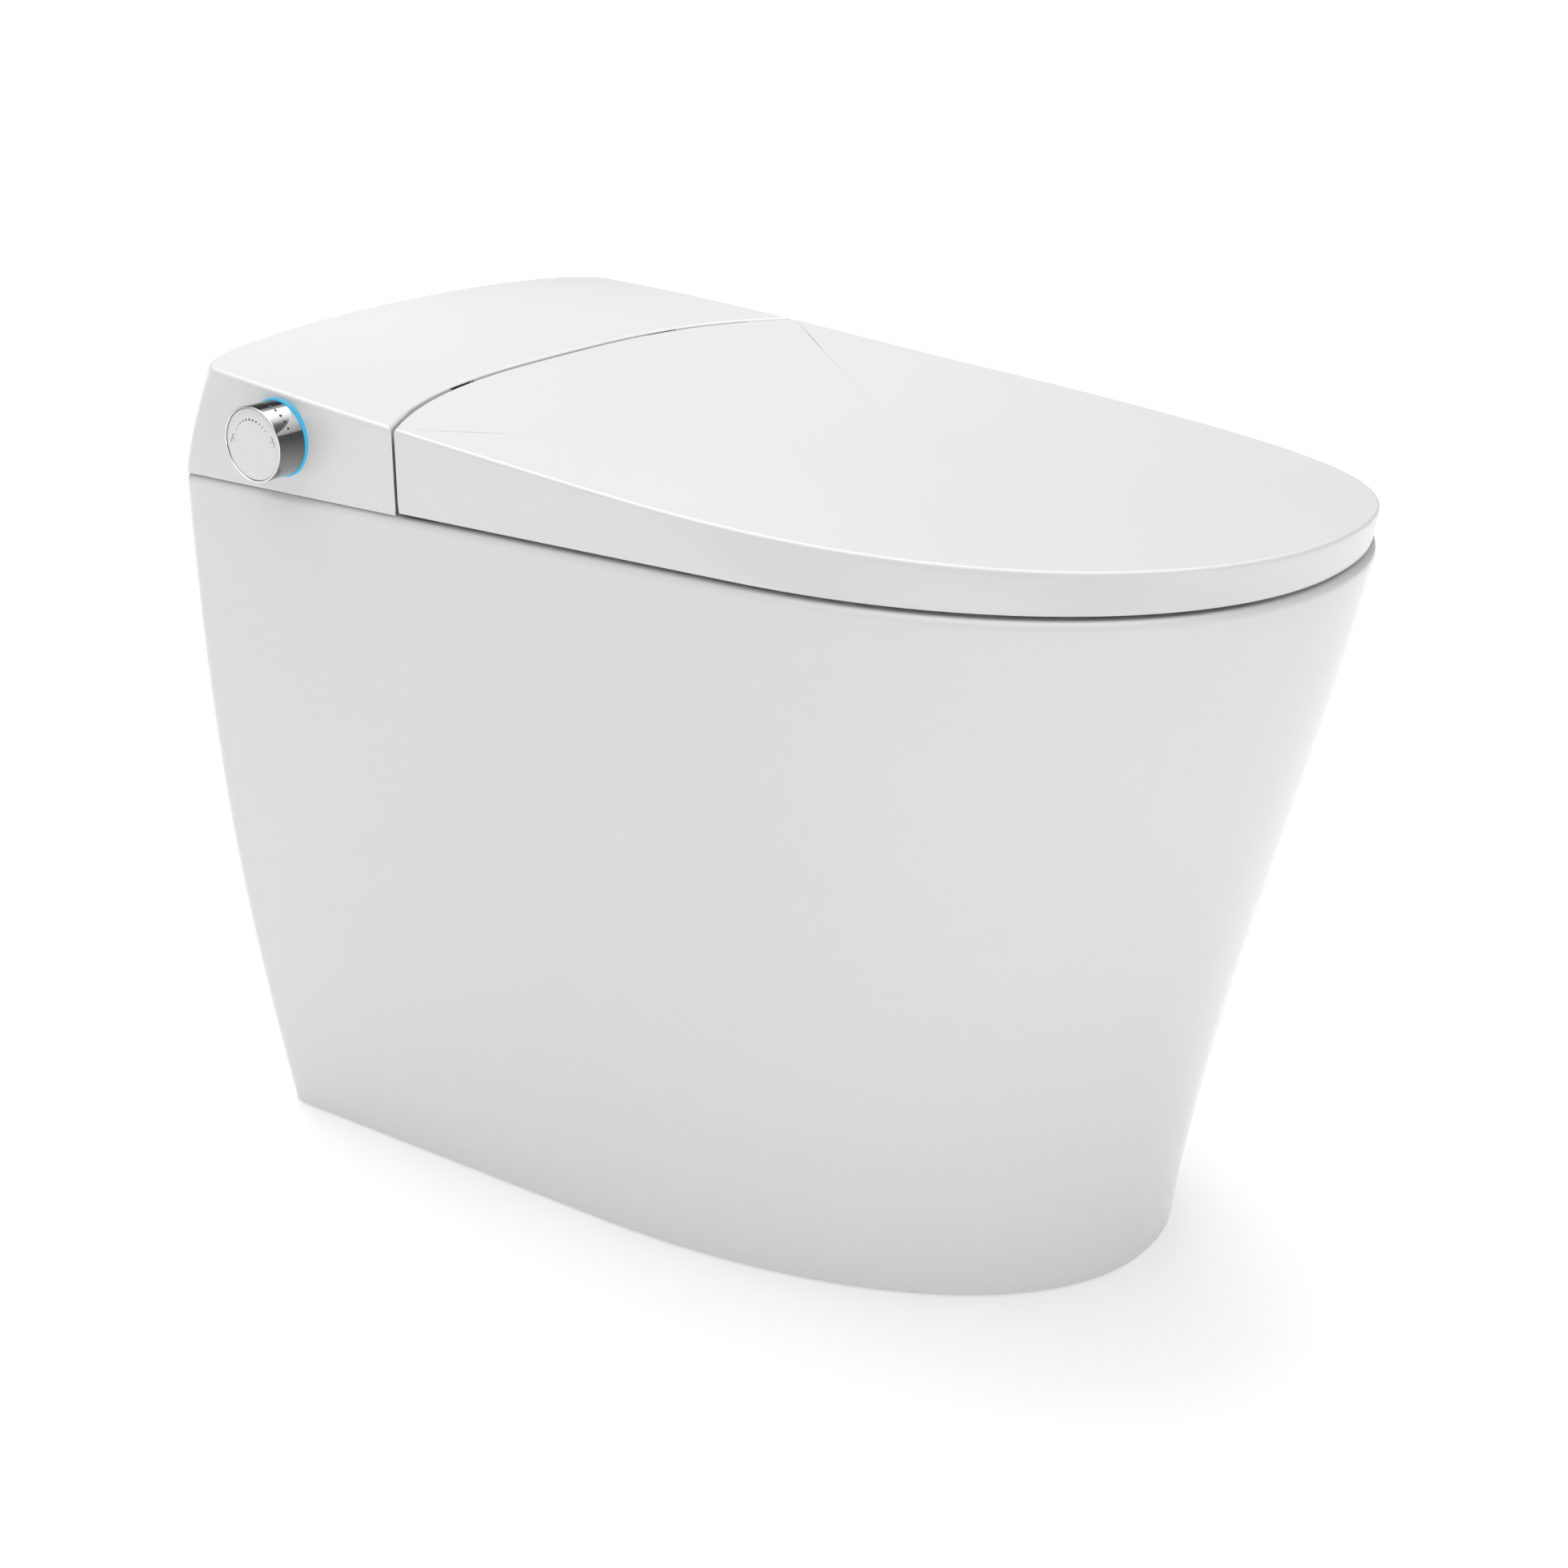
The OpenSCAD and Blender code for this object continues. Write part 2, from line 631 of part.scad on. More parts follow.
module seat_heater() {
    color("darkorange") intersection() {
        seat_ring(seat_t + 8, seat_z, 60);
        across(concat(seat_under(seat_t), [for (i = [36 : -1 : 0])
            seat_under(seat_t + heater_t)[i]]), -250, 250);
    }
}
module seat_bumpers() {
    color("gainsboro") for (p = [[152, 300], [120, 560]]) both_sides()
        translate([p[0], y(p[1]), rim_h + 0.2]) cylinder(r = 8, h = cover_gap - 0.2);
}

// ---- wands, in a frame along them: X across, Y back up the wand, Z square to it

wand_s = 226;
wand_z = 422;
wand_len = 216;
wand_bore = 4.2;
tip_len = 16;
gear_m = 1;
teeth = 14;
gear_r = teeth*gear_m/2;
pressure = 20;
mesh_gap = 0.12;                // half the backlash at the pitch line
rack_z = 8.6;                   // rack's pitch line above the wand's axis
pinion_y = 127;
rack_teeth = 30;
module along_wand() {
    translate([0, y(wand_s), wand_z]) rotate([wand_tilt, 0, 0]) children();
}
module rod(x, y0, len, r, z = 0) {
    translate([x, y0, z]) rotate([-90, 0, 0]) cylinder(r = r, h = len);
}
// rack outline as [along, up]: one trapezoid for each tooth
rack_outline = concat(
    [[pinion_y - 8, wand_r - 1.5]],
    [for (k = [-2 : rack_teeth - 3])
        let (c = pinion_y + k*PI*gear_m, h = PI*gear_m/4 - mesh_gap, t = tan(pressure))
        for (p = [[-h - 1.15*t, -1.15], [-h + 0.75*t, 0.75], [h - 0.75*t, 0.75],
                  [h + 1.15*t, -1.15]])
            [c + p[0], rack_z + p[1]]],
    [[pinion_y + (rack_teeth - 2)*PI*gear_m, wand_r - 1.5]]);
module wand(x) {
    difference() {
        union() {
            rod(x, tip_len, wand_len - tip_len, wand_r);
            translate([x - 2.5, 0, 0]) rotate([90, 0, 90]) linear_extrude(5)
                polygon(rack_outline);
        }
        rod(x, tip_len - 1, wand_len - tip_len - 8, wand_bore);
    }
}
module rear_wand() { color("silver") along_wand() wand(-wand_x); }
module front_wand() { color("silver") along_wand() wand(wand_x); }
module wand_tip(x, holes, pitch) {
    difference() {
        rod(x, 0, tip_len, wand_r);
        rod(x, 3, tip_len, wand_bore);
        for (i = [0 : holes - 1])
            translate([x, 6 + pitch*i, 0]) cylinder(r = 0.8, h = 10);
    }
}
module rear_tip() { color("white") along_wand() wand_tip(-wand_x, 1, 3); }
module front_tip() { color("white") along_wand() wand_tip(wand_x, 3, 3); }

// involute tooth outline, pointing along +X
base_r = gear_r*cos(pressure);
function inv(a) = tan(a)*180/PI - a;
function tooth_half(r) =
    (PI*gear_m/4 - mesh_gap)/gear_r*180/PI + inv(pressure) - inv(acos(min(1, base_r/r)));
tooth_radii = [gear_r - gear_m, base_r, 6.8, 7.2, 7.6, gear_r + 0.9*gear_m];
gear_outline = [for (k = [0 : teeth - 1])
    let (a = -90 + (k + 0.5)*360/teeth)
    for (i = [-6 : 6]) if (i != 0)
        let (r = tooth_radii[6 - abs(i)], h = tooth_half(max(r, base_r)))
        r*head(a + sign(i)*h)];
pinion_z = rack_z + gear_r;
// pinion with its shaft, which reaches into the motor on the side given by dir
module pinion(x, dir) {
    along_wand() translate([x, pinion_y, pinion_z]) {
        rotate([90, 0, 90]) translate([0, 0, -2.5]) linear_extrude(5)
            polygon(gear_outline);
        rotate([0, 90*dir, 0]) cylinder(r = shaft_r, h = 14);
    }
}
shaft_r = 1.5;
module rear_pinion() { color("ivory") pinion(-wand_x, -1); }
module front_pinion() { color("ivory") pinion(wand_x, 1); }
motor_r = 10.5;
motor_x = [wand_x + 6.5, wand_x + 22];
module motor() {
    along_wand() translate([0, pinion_y, pinion_z]) rotate([0, 90, 0]) difference() {
        union() {
            translate([0, 0, motor_x[0] + 2]) cylinder(r = motor_r, h = 13.5);
            translate([0, 0, motor_x[0]]) cylinder(r = 4.5, h = 2.1);
        }
        translate([0, 0, motor_x[0] - 1]) cylinder(r = shaft_r + run_gap, h = 12);
    }
}
module rear_motor() { color("slategray") mirror([1, 0, 0]) motor(); }
module front_motor() { color("slategray") motor(); }

// guides for both wands, a sloped rail under them and plates for the motors
rail_z = [-10, -7.5];
guide_y = [[8, 15], [96, 103]];
stay_s = [48, 80];              // supports under the rail
module wand_cradle() {
    color("gainsboro") difference() {
        union() {
            along_wand() {
                translate([-24, 6, rail_z[0]]) cube([48, 196, rail_z[1] - rail_z[0]]);
                for (g = guide_y) translate([-24, g[0], rail_z[0]])
                    cube([48, g[1] - g[0], 18]);
                both_sides() translate([motor_x[0] + 0.1, pinion_y - 12, rail_z[0]])
                    cube([1.8, 24, pinion_z - rail_z[0] + 8]);
            }
            for (s = stay_s) box(-22, 22, s, s + 5, tray_top, wand_rail_z(s) + 1);
        }
        along_wand() for (x = [-wand_x, wand_x]) {
            rod(x, 0, 110, wand_r + run_gap);
            translate([x - 3, guide_y[1][0] - 2, 0]) cube([6, 11, 10]);
        }
        both_sides() along_wand() translate([motor_x[0] - 3, pinion_y, pinion_z])
            rotate([0, 90, 0]) cylinder(r = 4.6, h = 8);
    }
}
function wand_rail_z(s) = wand_z + (wand_s - s)*tan(wand_tilt) + rail_z[0]/cos(wand_tilt);

// ---- bowl-side front plate with its outlets, and the air path

shroud_s = [226.5, 230];
shroud_z = [402, 434];
window = [48, 72, 407, 431];        // inner and outer x, lowest and highest z
flap_s = 232.5;
flap_z = 430;
module front_shroud() {
    color("white") difference() {
        union() {
            round_box(-74.5, 74.5, shroud_s[0], shroud_s[1], shroud_z[0], shroud_z[1], 1);
            for (x = [47, 69.8]) box(x, x + 3, shroud_s[0], flap_s + 2, flap_z - 2, flap_z + 2);
        }
        for (x = [-wand_x, wand_x])
            along_wand() rod(x, -12, 24, wand_r + 1.2);
        box(window[0], window[1], 220, 240, window[2], window[3] - 3);
        for (i = [0 : 5]) box(-70, -50, 220, 240, window[2] + 3.6*i, window[2] + 1.8 + 3.6*i);
        on_x(40, flap_s, flap_z) cylinder(r = 1.05, h = 40);
    }
}
module flap_pin() {
    color("silver") on_x(46.5, flap_s, flap_z) cylinder(r = 1, h = 27);
}
module dryer_flap() {
    color("white") difference() {
        union() {
            on_x(50.4, flap_s, flap_z) cylinder(r = 2.2, h = 19);
            box(50.4, 69.4, flap_s - 0.9, flap_s + 0.9, window[2] - 2, flap_z);
        }
        on_x(40, flap_s, flap_z) cylinder(r = 1.05, h = 40);
    }
}
// side view of an air path that starts at s0 and ends behind the front plate
duct_t = 1.5;
function duct(s0, d) = [
    [y(s0 - (d > 0 ? 1 : 0)), tray_top + 1 + d], [y(130), tray_top + 1 + d],
    [y(172), window[2] + 1 + d], [y(226 + (d > 0 ? 1 : 0)), window[2] - 2 + d],
    [y(226 + (d > 0 ? 1 : 0)), 431 - d], [y(187), 435.5 - d],
    [y(150), 461 - d], [y(s0 - (d > 0 ? 1 : 0)), 462 - d]];
module air_duct(s0) {
    difference() {
        across(duct(s0, 0), 47, 72.5);
        across(duct(s0, duct_t), 47 + duct_t, 72.5 - duct_t);
    }
}
module dryer_duct() { color("lightgray") air_duct(98); }
module deodoriser_case() { color("lightgray") mirror([1, 0, 0]) air_duct(62); }
module carbon_cartridge() {
    color("dimgray") difference() {
        box(-70.5, -49, 66, 106, tray_top + 3, 458.5);
        for (i = [0 : 4], j = [0 : 3])
            translate([-67.5 + 4*i, y(110), tray_top + 5.5 + 4*j])
                rotate([-90, 0, 0]) cylinder(r = 1.2, h = 50, $fn = 6);
    }
}
fan = [84, 58];
fan_r = 34;
fan_z = [tray_top + 0.5, 476];
module blower_case() {
    w = 2;
    color("slategray") difference() {
        union() {
            translate([fan[0], y(fan[1]), fan_z[0]]) cylinder(r = fan_r, h = fan_z[1] - fan_z[0]);
            box(50.2, 72, fan[1], 97.8, tray_top + 0.5, 463);
        }
        translate([fan[0], y(fan[1]), fan_z[0] + w])
            cylinder(r = fan_r - w, h = fan_z[1] - fan_z[0] - 2*w);
        box(52.2, 70, fan[1], 99, tray_top + 2.5, 461);
        translate([fan[0], y(fan[1]), fan_z[1] - w - 1]) cylinder(r = 17, h = 10);
    }
}
wheel_z = [tray_top + 6, 470];
module blower_wheel() {
    color("dimgray") translate([fan[0], y(fan[1]), 0]) {
        translate([0, 0, wheel_z[0]]) cylinder(r = 27, h = 2);
        translate([0, 0, wheel_z[0] + 1.9]) cylinder(r = 9, h = 12);
        for (a = [0 : 15 : 345]) rotate(a)
            translate([20, -0.6, wheel_z[0] + 1.9]) cube([6.5, 1.2, 20]);
        translate([0, 0, wheel_z[1] - 2.2]) difference() {
            cylinder(r = 27, h = 2);
            translate([0, 0, -1]) cylinder(r = 19.5, h = 4);
        }
    }
}

// ---- water path and electrics

module water_heater() {
    color("tan") union() {
        round_box(-152, -82, 30, 92, tray_top, 478, 8);
        for (x = [-140, -94]) translate([x, y(56), 477.9]) cylinder(r = 5, h = 7);
        box(-122, -104, 40, 70, 477.9, 481);
    }
}
tank = [-90, 62, 38, 117, 330];
module flush_tank() {
    color("whitesmoke") difference() {
        round_box(tank[0], tank[1], tank[2], tank[3], tank[4], tray_z, 10);
        round_box(tank[0] + 3, tank[1] - 3, tank[2] + 3, tank[3] - 3, tank[4] + 3,
                  tray_z - 3, 8);
        translate([pump[0], y(pump[1]), tank[4] - 1]) cylinder(r = 8, h = 6);
    }
}
pump = [28, 78];
module flush_pump() {
    color("dimgray") difference() {
        translate([pump[0], y(pump[1]), 0]) {
            translate([0, 0, 302]) cylinder(r = 31, h = 28);
            translate([0, 0, 238]) cylinder(r = 24, h = 64.1);
            rotate([0, 90, 0]) translate([-316, 0, 28]) cylinder(r = 9, h = 24);
        }
        translate([pump[0], y(pump[1]), 305]) cylinder(r = 8, h = 30);
        translate([pump[0], y(pump[1]), 316]) rotate([0, 90, 0]) cylinder(r = 6, h = 60);
    }
}
valve = [-60, 64, 306];
inlet_r = 10.48;
module inlet_valve() {
    color("ivory") difference() {
        union() {
            box(valve[0] - 15, valve[0] + 15, 46, 92, 292, tank[4]);
            translate([valve[0], y(46), valve[2]]) rotate([-90, 0, 0])
                cylinder(r = 12.5, h = 4);
        }
        translate([valve[0], y(60), valve[2]]) rotate([-90, 0, 0])
            cylinder(r = 7, h = 30);
    }
}
module water_inlet() {
    color("goldenrod") translate([valve[0], y(42), valve[2]]) rotate([-90, 0, 0])
        difference() {
            union() {
                cylinder(r = 14, h = 6, $fn = 6);
                translate([0, 0, 5.9]) cylinder(r = inlet_r, h = 14);
            }
            translate([0, 0, -1]) cylinder(r = 6.5, h = 30);
        }
}
module valve_coil() {
    color("darkslategray") translate([valve[0], y(74), 262]) {
        cylinder(r = 13, h = 30);
        translate([-5, -19, 8]) cube([10, 9, 14]);
    }
}
case = [124, 174, 30, 94, 474];
module board_case() {
    color("darkslategray") difference() {
        round_box(case[0], case[1], case[2], case[3], tray_top, case[4], 4);
        round_box(case[0] + 2, case[1] - 2, case[2] + 2, case[3] - 2, tray_top + 2,
                  case[4] - 2, 3);
    }
}
module control_board() {
    z = tray_top + 8;
    color("seagreen") {
        box(case[0] + 3, case[1] - 3, case[2] + 3, case[3] - 3, z, z + 1.6);
        for (x = [case[0] + 8, case[1] - 8], s = [case[2] + 8, case[3] - 8])
            translate([x, y(s), tray_top + 2]) cylinder(r = 3, h = 6.1);
        box(case[0] + 10, case[0] + 28, 40, 58, z + 1.5, z + 15);
        for (s = [66 : 9 : 84]) translate([case[0] + 14, y(s), z + 1.5])
            cylinder(r = 4, h = 12);
        box(case[0] + 30, case[0] + 42, 54, 64, z + 1.5, z + 3.5);
        box(case[0] + 26, case[0] + 42, 70, 82, z + 1.5, z + 9);
    }
}
gland = [84, 106];
gland_r = 4.2;
module mains_gland() {
    color("dimgray") translate([gland[0], y(gland[1]), 0]) difference() {
        union() {
            translate([0, 0, tray_z - 12]) cylinder(r = 7, h = 24);
            translate([0, 0, tray_top]) cylinder(r = 10, h = 4, $fn = 6);
            translate([0, 0, tray_z - 5]) cylinder(r = 9.5, h = 5);
        }
        translate([0, 0, tray_z - 13]) cylinder(r = gland_r, h = 40);
    }
}

// ---- side knob, along X from the housing's wall outwards

wall_x = 194.3;                 // housing's side at the knob
light_in = 8;                   // radius of the hole in the housing's side
light_t = 1.8;
light_x = wall_x + light_t;
sleeve_t = 1.6;
shaft_len = 30;
pin_r = 2.5;                    // cap's middle pin, which slides in the shaft
cap_z = 9;                      // cap's underside
cap_t = 2.7;
spring_r = 10;
press = 1.5;
module knob_part() {
    translate([-light_x - 0.4, y(knob_s), knob_z]) rotate([0, -90, 0]) children();
}
module knob_light() {
    color("deepskyblue") translate([-light_x, y(knob_s), knob_z]) rotate([0, 90, 0])
        difference() {
            union() {
                cylinder(r = knob_r + 0.8, h = light_t);
                cylinder(r = light_in - 0.2, h = light_t + 6);
            }
            translate([0, 0, -1]) cylinder(r = 4.2, h = 20);
        }
}
module knob_sleeve() {
    color("silver") knob_part() difference() {
        cylinder(r = knob_r, h = knob_len);
        translate([0, 0, 4]) cylinder(r = knob_r - sleeve_t, h = knob_len);
        translate([0, 0, -1]) cylinder(r = 4.02, h = 10);
    }
}
module knob_cap() {
    r = knob_r - sleeve_t - 0.15;
    top = knob_len - 0.3;
    color("white") knob_part() difference() {
        union() {
            translate([0, 0, cap_z]) cylinder(r = r, h = top - cap_z);
            translate([0, 0, 3]) cylinder(r = pin_r, h = cap_z - 2);
        }
        translate([0, 0, cap_z - 1]) difference() {
            cylinder(r = r - 2, h = top - cap_t - cap_z + 1);
            translate([0, 0, -1]) cylinder(r = 6, h = 20);
        }
    }
}
// round wire wound about Z, from height z0 to z1
module coil(r, wire, z0, z1, turns) {
    steps = turns*14;
    sides = 6;
    polyhedron(
        [for (k = [0 : steps], i = [0 : sides - 1])
            let (a = 360*turns*k/steps, b = 360*i/sides)
            [(r + wire*cos(b))*cos(a), (r + wire*cos(b))*sin(a),
             mix(z0, z1, k/steps) + wire*sin(b)]],
        concat(
            [[for (i = [sides - 1 : -1 : 0]) i]],
            [for (k = [0 : steps - 1], i = [0 : sides - 1])
                let (j = (i + 1) % sides)
                [k*sides + i, k*sides + j, (k + 1)*sides + j, (k + 1)*sides + i]],
            [[for (i = [0 : sides - 1]) steps*sides + i]]));
}
module knob_spring() {
    wire = 0.4;
    color("silver") knob_part()
        coil(spring_r, wire, 4.05 + wire, knob_len - 0.3 - cap_t - press - 0.1 - wire, 4);
}
module knob_shaft() {
    color("silver") knob_part() translate([0, 0, 5 - shaft_len]) difference() {
        cylinder(r = 4, h = shaft_len);
        translate([0, 0, shaft_len - 4]) cylinder(r = pin_r + 0.1, h = 5);
    }
}
module knob_encoder() {
    color("darkslategray") difference() {
        union() {
            box(-wall_x + 17, -wall_x + 29, knob_s - 14, knob_s + 14, tray_top, knob_z + 14);
            on_x(-wall_x + 8.6, knob_s, knob_z) cylinder(r = 9, h = 9);
        }
        on_x(-wall_x, knob_s, knob_z) cylinder(r = 4 + run_gap, h = 27);
    }
}

china_body();
trapway();
floor_seal();
deck_gasket();
chassis_tray();
chassis_bolts();
housing_cover();
housing_screws();
lid_shell();
lid_liner();
lid_bumpers();
lid_arms();
lid_arm_screws();
lid_shaft();
lid_damper();
seat_top();
seat_base();
seat_heater();
seat_bumpers();
seat_arms();
seat_arm_screws();
seat_shaft();
seat_damper();
front_shroud();
wand_cradle();
rear_wand();
front_wand();
rear_tip();
front_tip();
rear_motor();
front_motor();
rear_pinion();
front_pinion();
blower_case();
blower_wheel();
dryer_duct();
dryer_flap();
flap_pin();
deodoriser_case();
carbon_cartridge();
water_heater();
flush_tank();
flush_pump();
inlet_valve();
valve_coil();
water_inlet();
control_board();
board_case();
mains_gland();
knob_sleeve();
knob_cap();
knob_spring();
knob_shaft();
knob_encoder();
knob_light();
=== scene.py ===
import json
import math

import bmesh
import bpy
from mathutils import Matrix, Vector


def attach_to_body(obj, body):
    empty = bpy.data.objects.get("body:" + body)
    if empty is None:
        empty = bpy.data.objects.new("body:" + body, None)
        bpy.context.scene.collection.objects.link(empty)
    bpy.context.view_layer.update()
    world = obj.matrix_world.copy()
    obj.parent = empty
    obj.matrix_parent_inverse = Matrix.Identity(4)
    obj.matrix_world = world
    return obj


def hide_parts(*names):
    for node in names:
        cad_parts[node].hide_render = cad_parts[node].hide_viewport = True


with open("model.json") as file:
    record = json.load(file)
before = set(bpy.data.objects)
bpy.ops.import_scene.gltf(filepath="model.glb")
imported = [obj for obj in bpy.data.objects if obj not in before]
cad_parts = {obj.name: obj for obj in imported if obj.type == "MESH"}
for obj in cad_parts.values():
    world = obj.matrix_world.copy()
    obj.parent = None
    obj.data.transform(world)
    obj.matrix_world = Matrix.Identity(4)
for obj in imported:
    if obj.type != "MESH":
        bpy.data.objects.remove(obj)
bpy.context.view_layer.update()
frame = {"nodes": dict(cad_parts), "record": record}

# Shapes are worked out in mm. s is a distance forward of the rim's rear edge, x one
# across, u runs from -1 to 1 across a cover, and v from 0 to 1 up its side.
MM = 0.001
OUTLET = 285.0              # s of the floor outlet's axis, where the frame's origin is
RIM_W, RIM_LEN, RIM_H = 396.0, 665.0, 435.0
FOOT_W, FOOT_LEN, FOOT_BACK = 330.0, 578.0, 16.0
SEAM_SIDE, SEAM_BOW, SEAM_GAP = 182.5, 41.4, 2.2
SEAM_POWER = 2.84
COVER_Z = 437.5             # underside of the lid
FOOT_Z = 435.7              # underside of the housing
KNOB = Vector((-196.1, OUTLET - 92, 468))
QUARTER = [math.radians(15 * i) for i in range(1, 7)]       # steps of a rounded edge


# ---- camera and light

def look(obj, target):
    d = Vector(target) - obj.location
    obj.rotation_euler = d.to_track_quat("-Z", "Y").to_euler()


cam_data = bpy.data.cameras.new("camera")
cam = bpy.data.objects.new("camera", cam_data)
bpy.context.scene.collection.objects.link(cam)
cam.location = (-1.1445, -0.8195, 0.7924)
look(cam, (-0.02228, -0.04012, 0.250))
cam_data.sensor_width = 36.0
cam_data.lens = 55.13
cam_data.clip_start = 0.05
bpy.context.scene.camera = cam


def area(name, place, target, size, power):
    light = bpy.data.lights.new(name, "AREA")
    light.shape = "RECTANGLE"
    light.size, light.size_y = size
    light.energy = power
    o = bpy.data.objects.new(name, light)
    o.location = place
    bpy.context.scene.collection.objects.link(o)
    look(o, target)


area("key_overhead", place=(0.5, 0.7, 2.5), target=(0, 0.1, 0.3), size=(2.4, 2.4), power=38)
area("strip_front", place=(-1.2, -2.6, 0.8), target=(0, -0.3, 0.25), size=(1.1, 1.6), power=5)


def map_range(tree, value, source, result, smooth=False):
    """Maps a value from the span source to the span result, and gives the new output."""
    node = tree.nodes.new("ShaderNodeMapRange")
    if smooth:
        node.interpolation_type = "SMOOTHSTEP"
    node.inputs["From Min"].default_value, node.inputs["From Max"].default_value = source
    node.inputs["To Min"].default_value, node.inputs["To Max"].default_value = result
    tree.links.new(value, node.inputs["Value"])
    return node.outputs["Result"]


SHADED_SIDE = (0.86, -0.5, 0.0)     # towards the darker part of the room

bpy.context.scene.view_settings.view_transform = "Standard"
world = bpy.data.worlds.new("studio")
bpy.context.scene.world = world
world.use_nodes = True
sky = world.node_tree
background = sky.nodes["Background"]
background.inputs["Color"].default_value = (1.0, 1.0, 1.0, 1)
# an even room that darkens to the right, which shades the bowl's edge
direction = sky.nodes.new("ShaderNodeTexCoord")
toward = sky.nodes.new("ShaderNodeVectorMath")
toward.operation = "DOT_PRODUCT"
toward.inputs[1].default_value = SHADED_SIDE
sky.links.new(direction.outputs["Generated"], toward.inputs[0])
walls = map_range(sky, toward.outputs["Value"], (-0.2, 0.9), (0.30, 0.12), smooth=True)
# and a bright ceiling
height = sky.nodes.new("ShaderNodeSeparateXYZ")
sky.links.new(direction.outputs["Generated"], height.inputs["Vector"])
ceiling = map_range(sky, height.outputs["Z"], (0.60, 0.80), (0.0, 1.0), smooth=True)
both = sky.nodes.new("ShaderNodeMath")
both.operation = "ADD"
sky.links.new(walls, both.inputs[0])
sky.links.new(ceiling, both.inputs[1])
sky.links.new(both.outputs["Value"], background.inputs["Strength"])


# ---- materials

NOISE_SPAN = (0.15, 0.85)       # what the noise nodes give nearly everywhere


def principled(name, colour, rough, metallic=0.0, **sockets):
    m = bpy.data.materials.new(name)
    m.use_nodes = True
    b = m.node_tree.nodes["Principled BSDF"]
    b.inputs["Base Color"].default_value = (*colour, 1)
    b.inputs["Roughness"].default_value = rough
    b.inputs["Metallic"].default_value = metallic
    for key, value in sockets.items():
        b.inputs[key.replace("_", " ")].default_value = value
    m.diffuse_color = (*colour, 1)
    return m, m.node_tree, b


def noise(tree, scale, detail=3.0):
    coord = tree.nodes.new("ShaderNodeTexCoord")
    n = tree.nodes.new("ShaderNodeTexNoise")
    n.inputs["Scale"].default_value = scale
    n.inputs["Detail"].default_value = detail
    n.inputs["Roughness"].default_value = 0.5
    tree.links.new(coord.outputs["Object"], n.inputs["Vector"])
    return n.outputs["Fac"]


def tint(tree, value, low, high, socket):
    ramp = tree.nodes.new("ShaderNodeValToRGB")
    for element, at, colour in zip(ramp.color_ramp.elements, NOISE_SPAN, (low, high)):
        element.position = at
        element.color = (*colour, 1)
    tree.links.new(value, ramp.inputs["Fac"])
    tree.links.new(ramp.outputs["Color"], socket)


def bump(tree, value, strength, distance, b):
    k = tree.nodes.new("ShaderNodeBump")
    k.inputs["Strength"].default_value = strength
    k.inputs["Distance"].default_value = distance
    tree.links.new(value, k.inputs["Height"])
    tree.links.new(k.outputs["Normal"], b.inputs["Normal"])


def surface(name, low, high, rough, scale, grain=None, metallic=0.0, **sockets):
    """A slow colour drift from low to high, a varied roughness and, with grain, a bump.

    rough is the span of the roughness, scale that of the drift, and grain the bump's
    scale, strength and depth in metres.
    """
    m, t, b = principled(name, high, sum(rough) / 2, metallic, **sockets)
    tint(t, noise(t, scale, 1.0), low, high, b.inputs["Base Color"])
    wear = noise(t, scale * 6) if grain else noise(t, scale * 2, 1.0)
    t.links.new(map_range(t, wear, NOISE_SPAN, rough), b.inputs["Roughness"])
    if grain:
        grain_scale, strength, depth = grain
        bump(t, noise(t, grain_scale, 4.0), strength, depth, b)
    return m


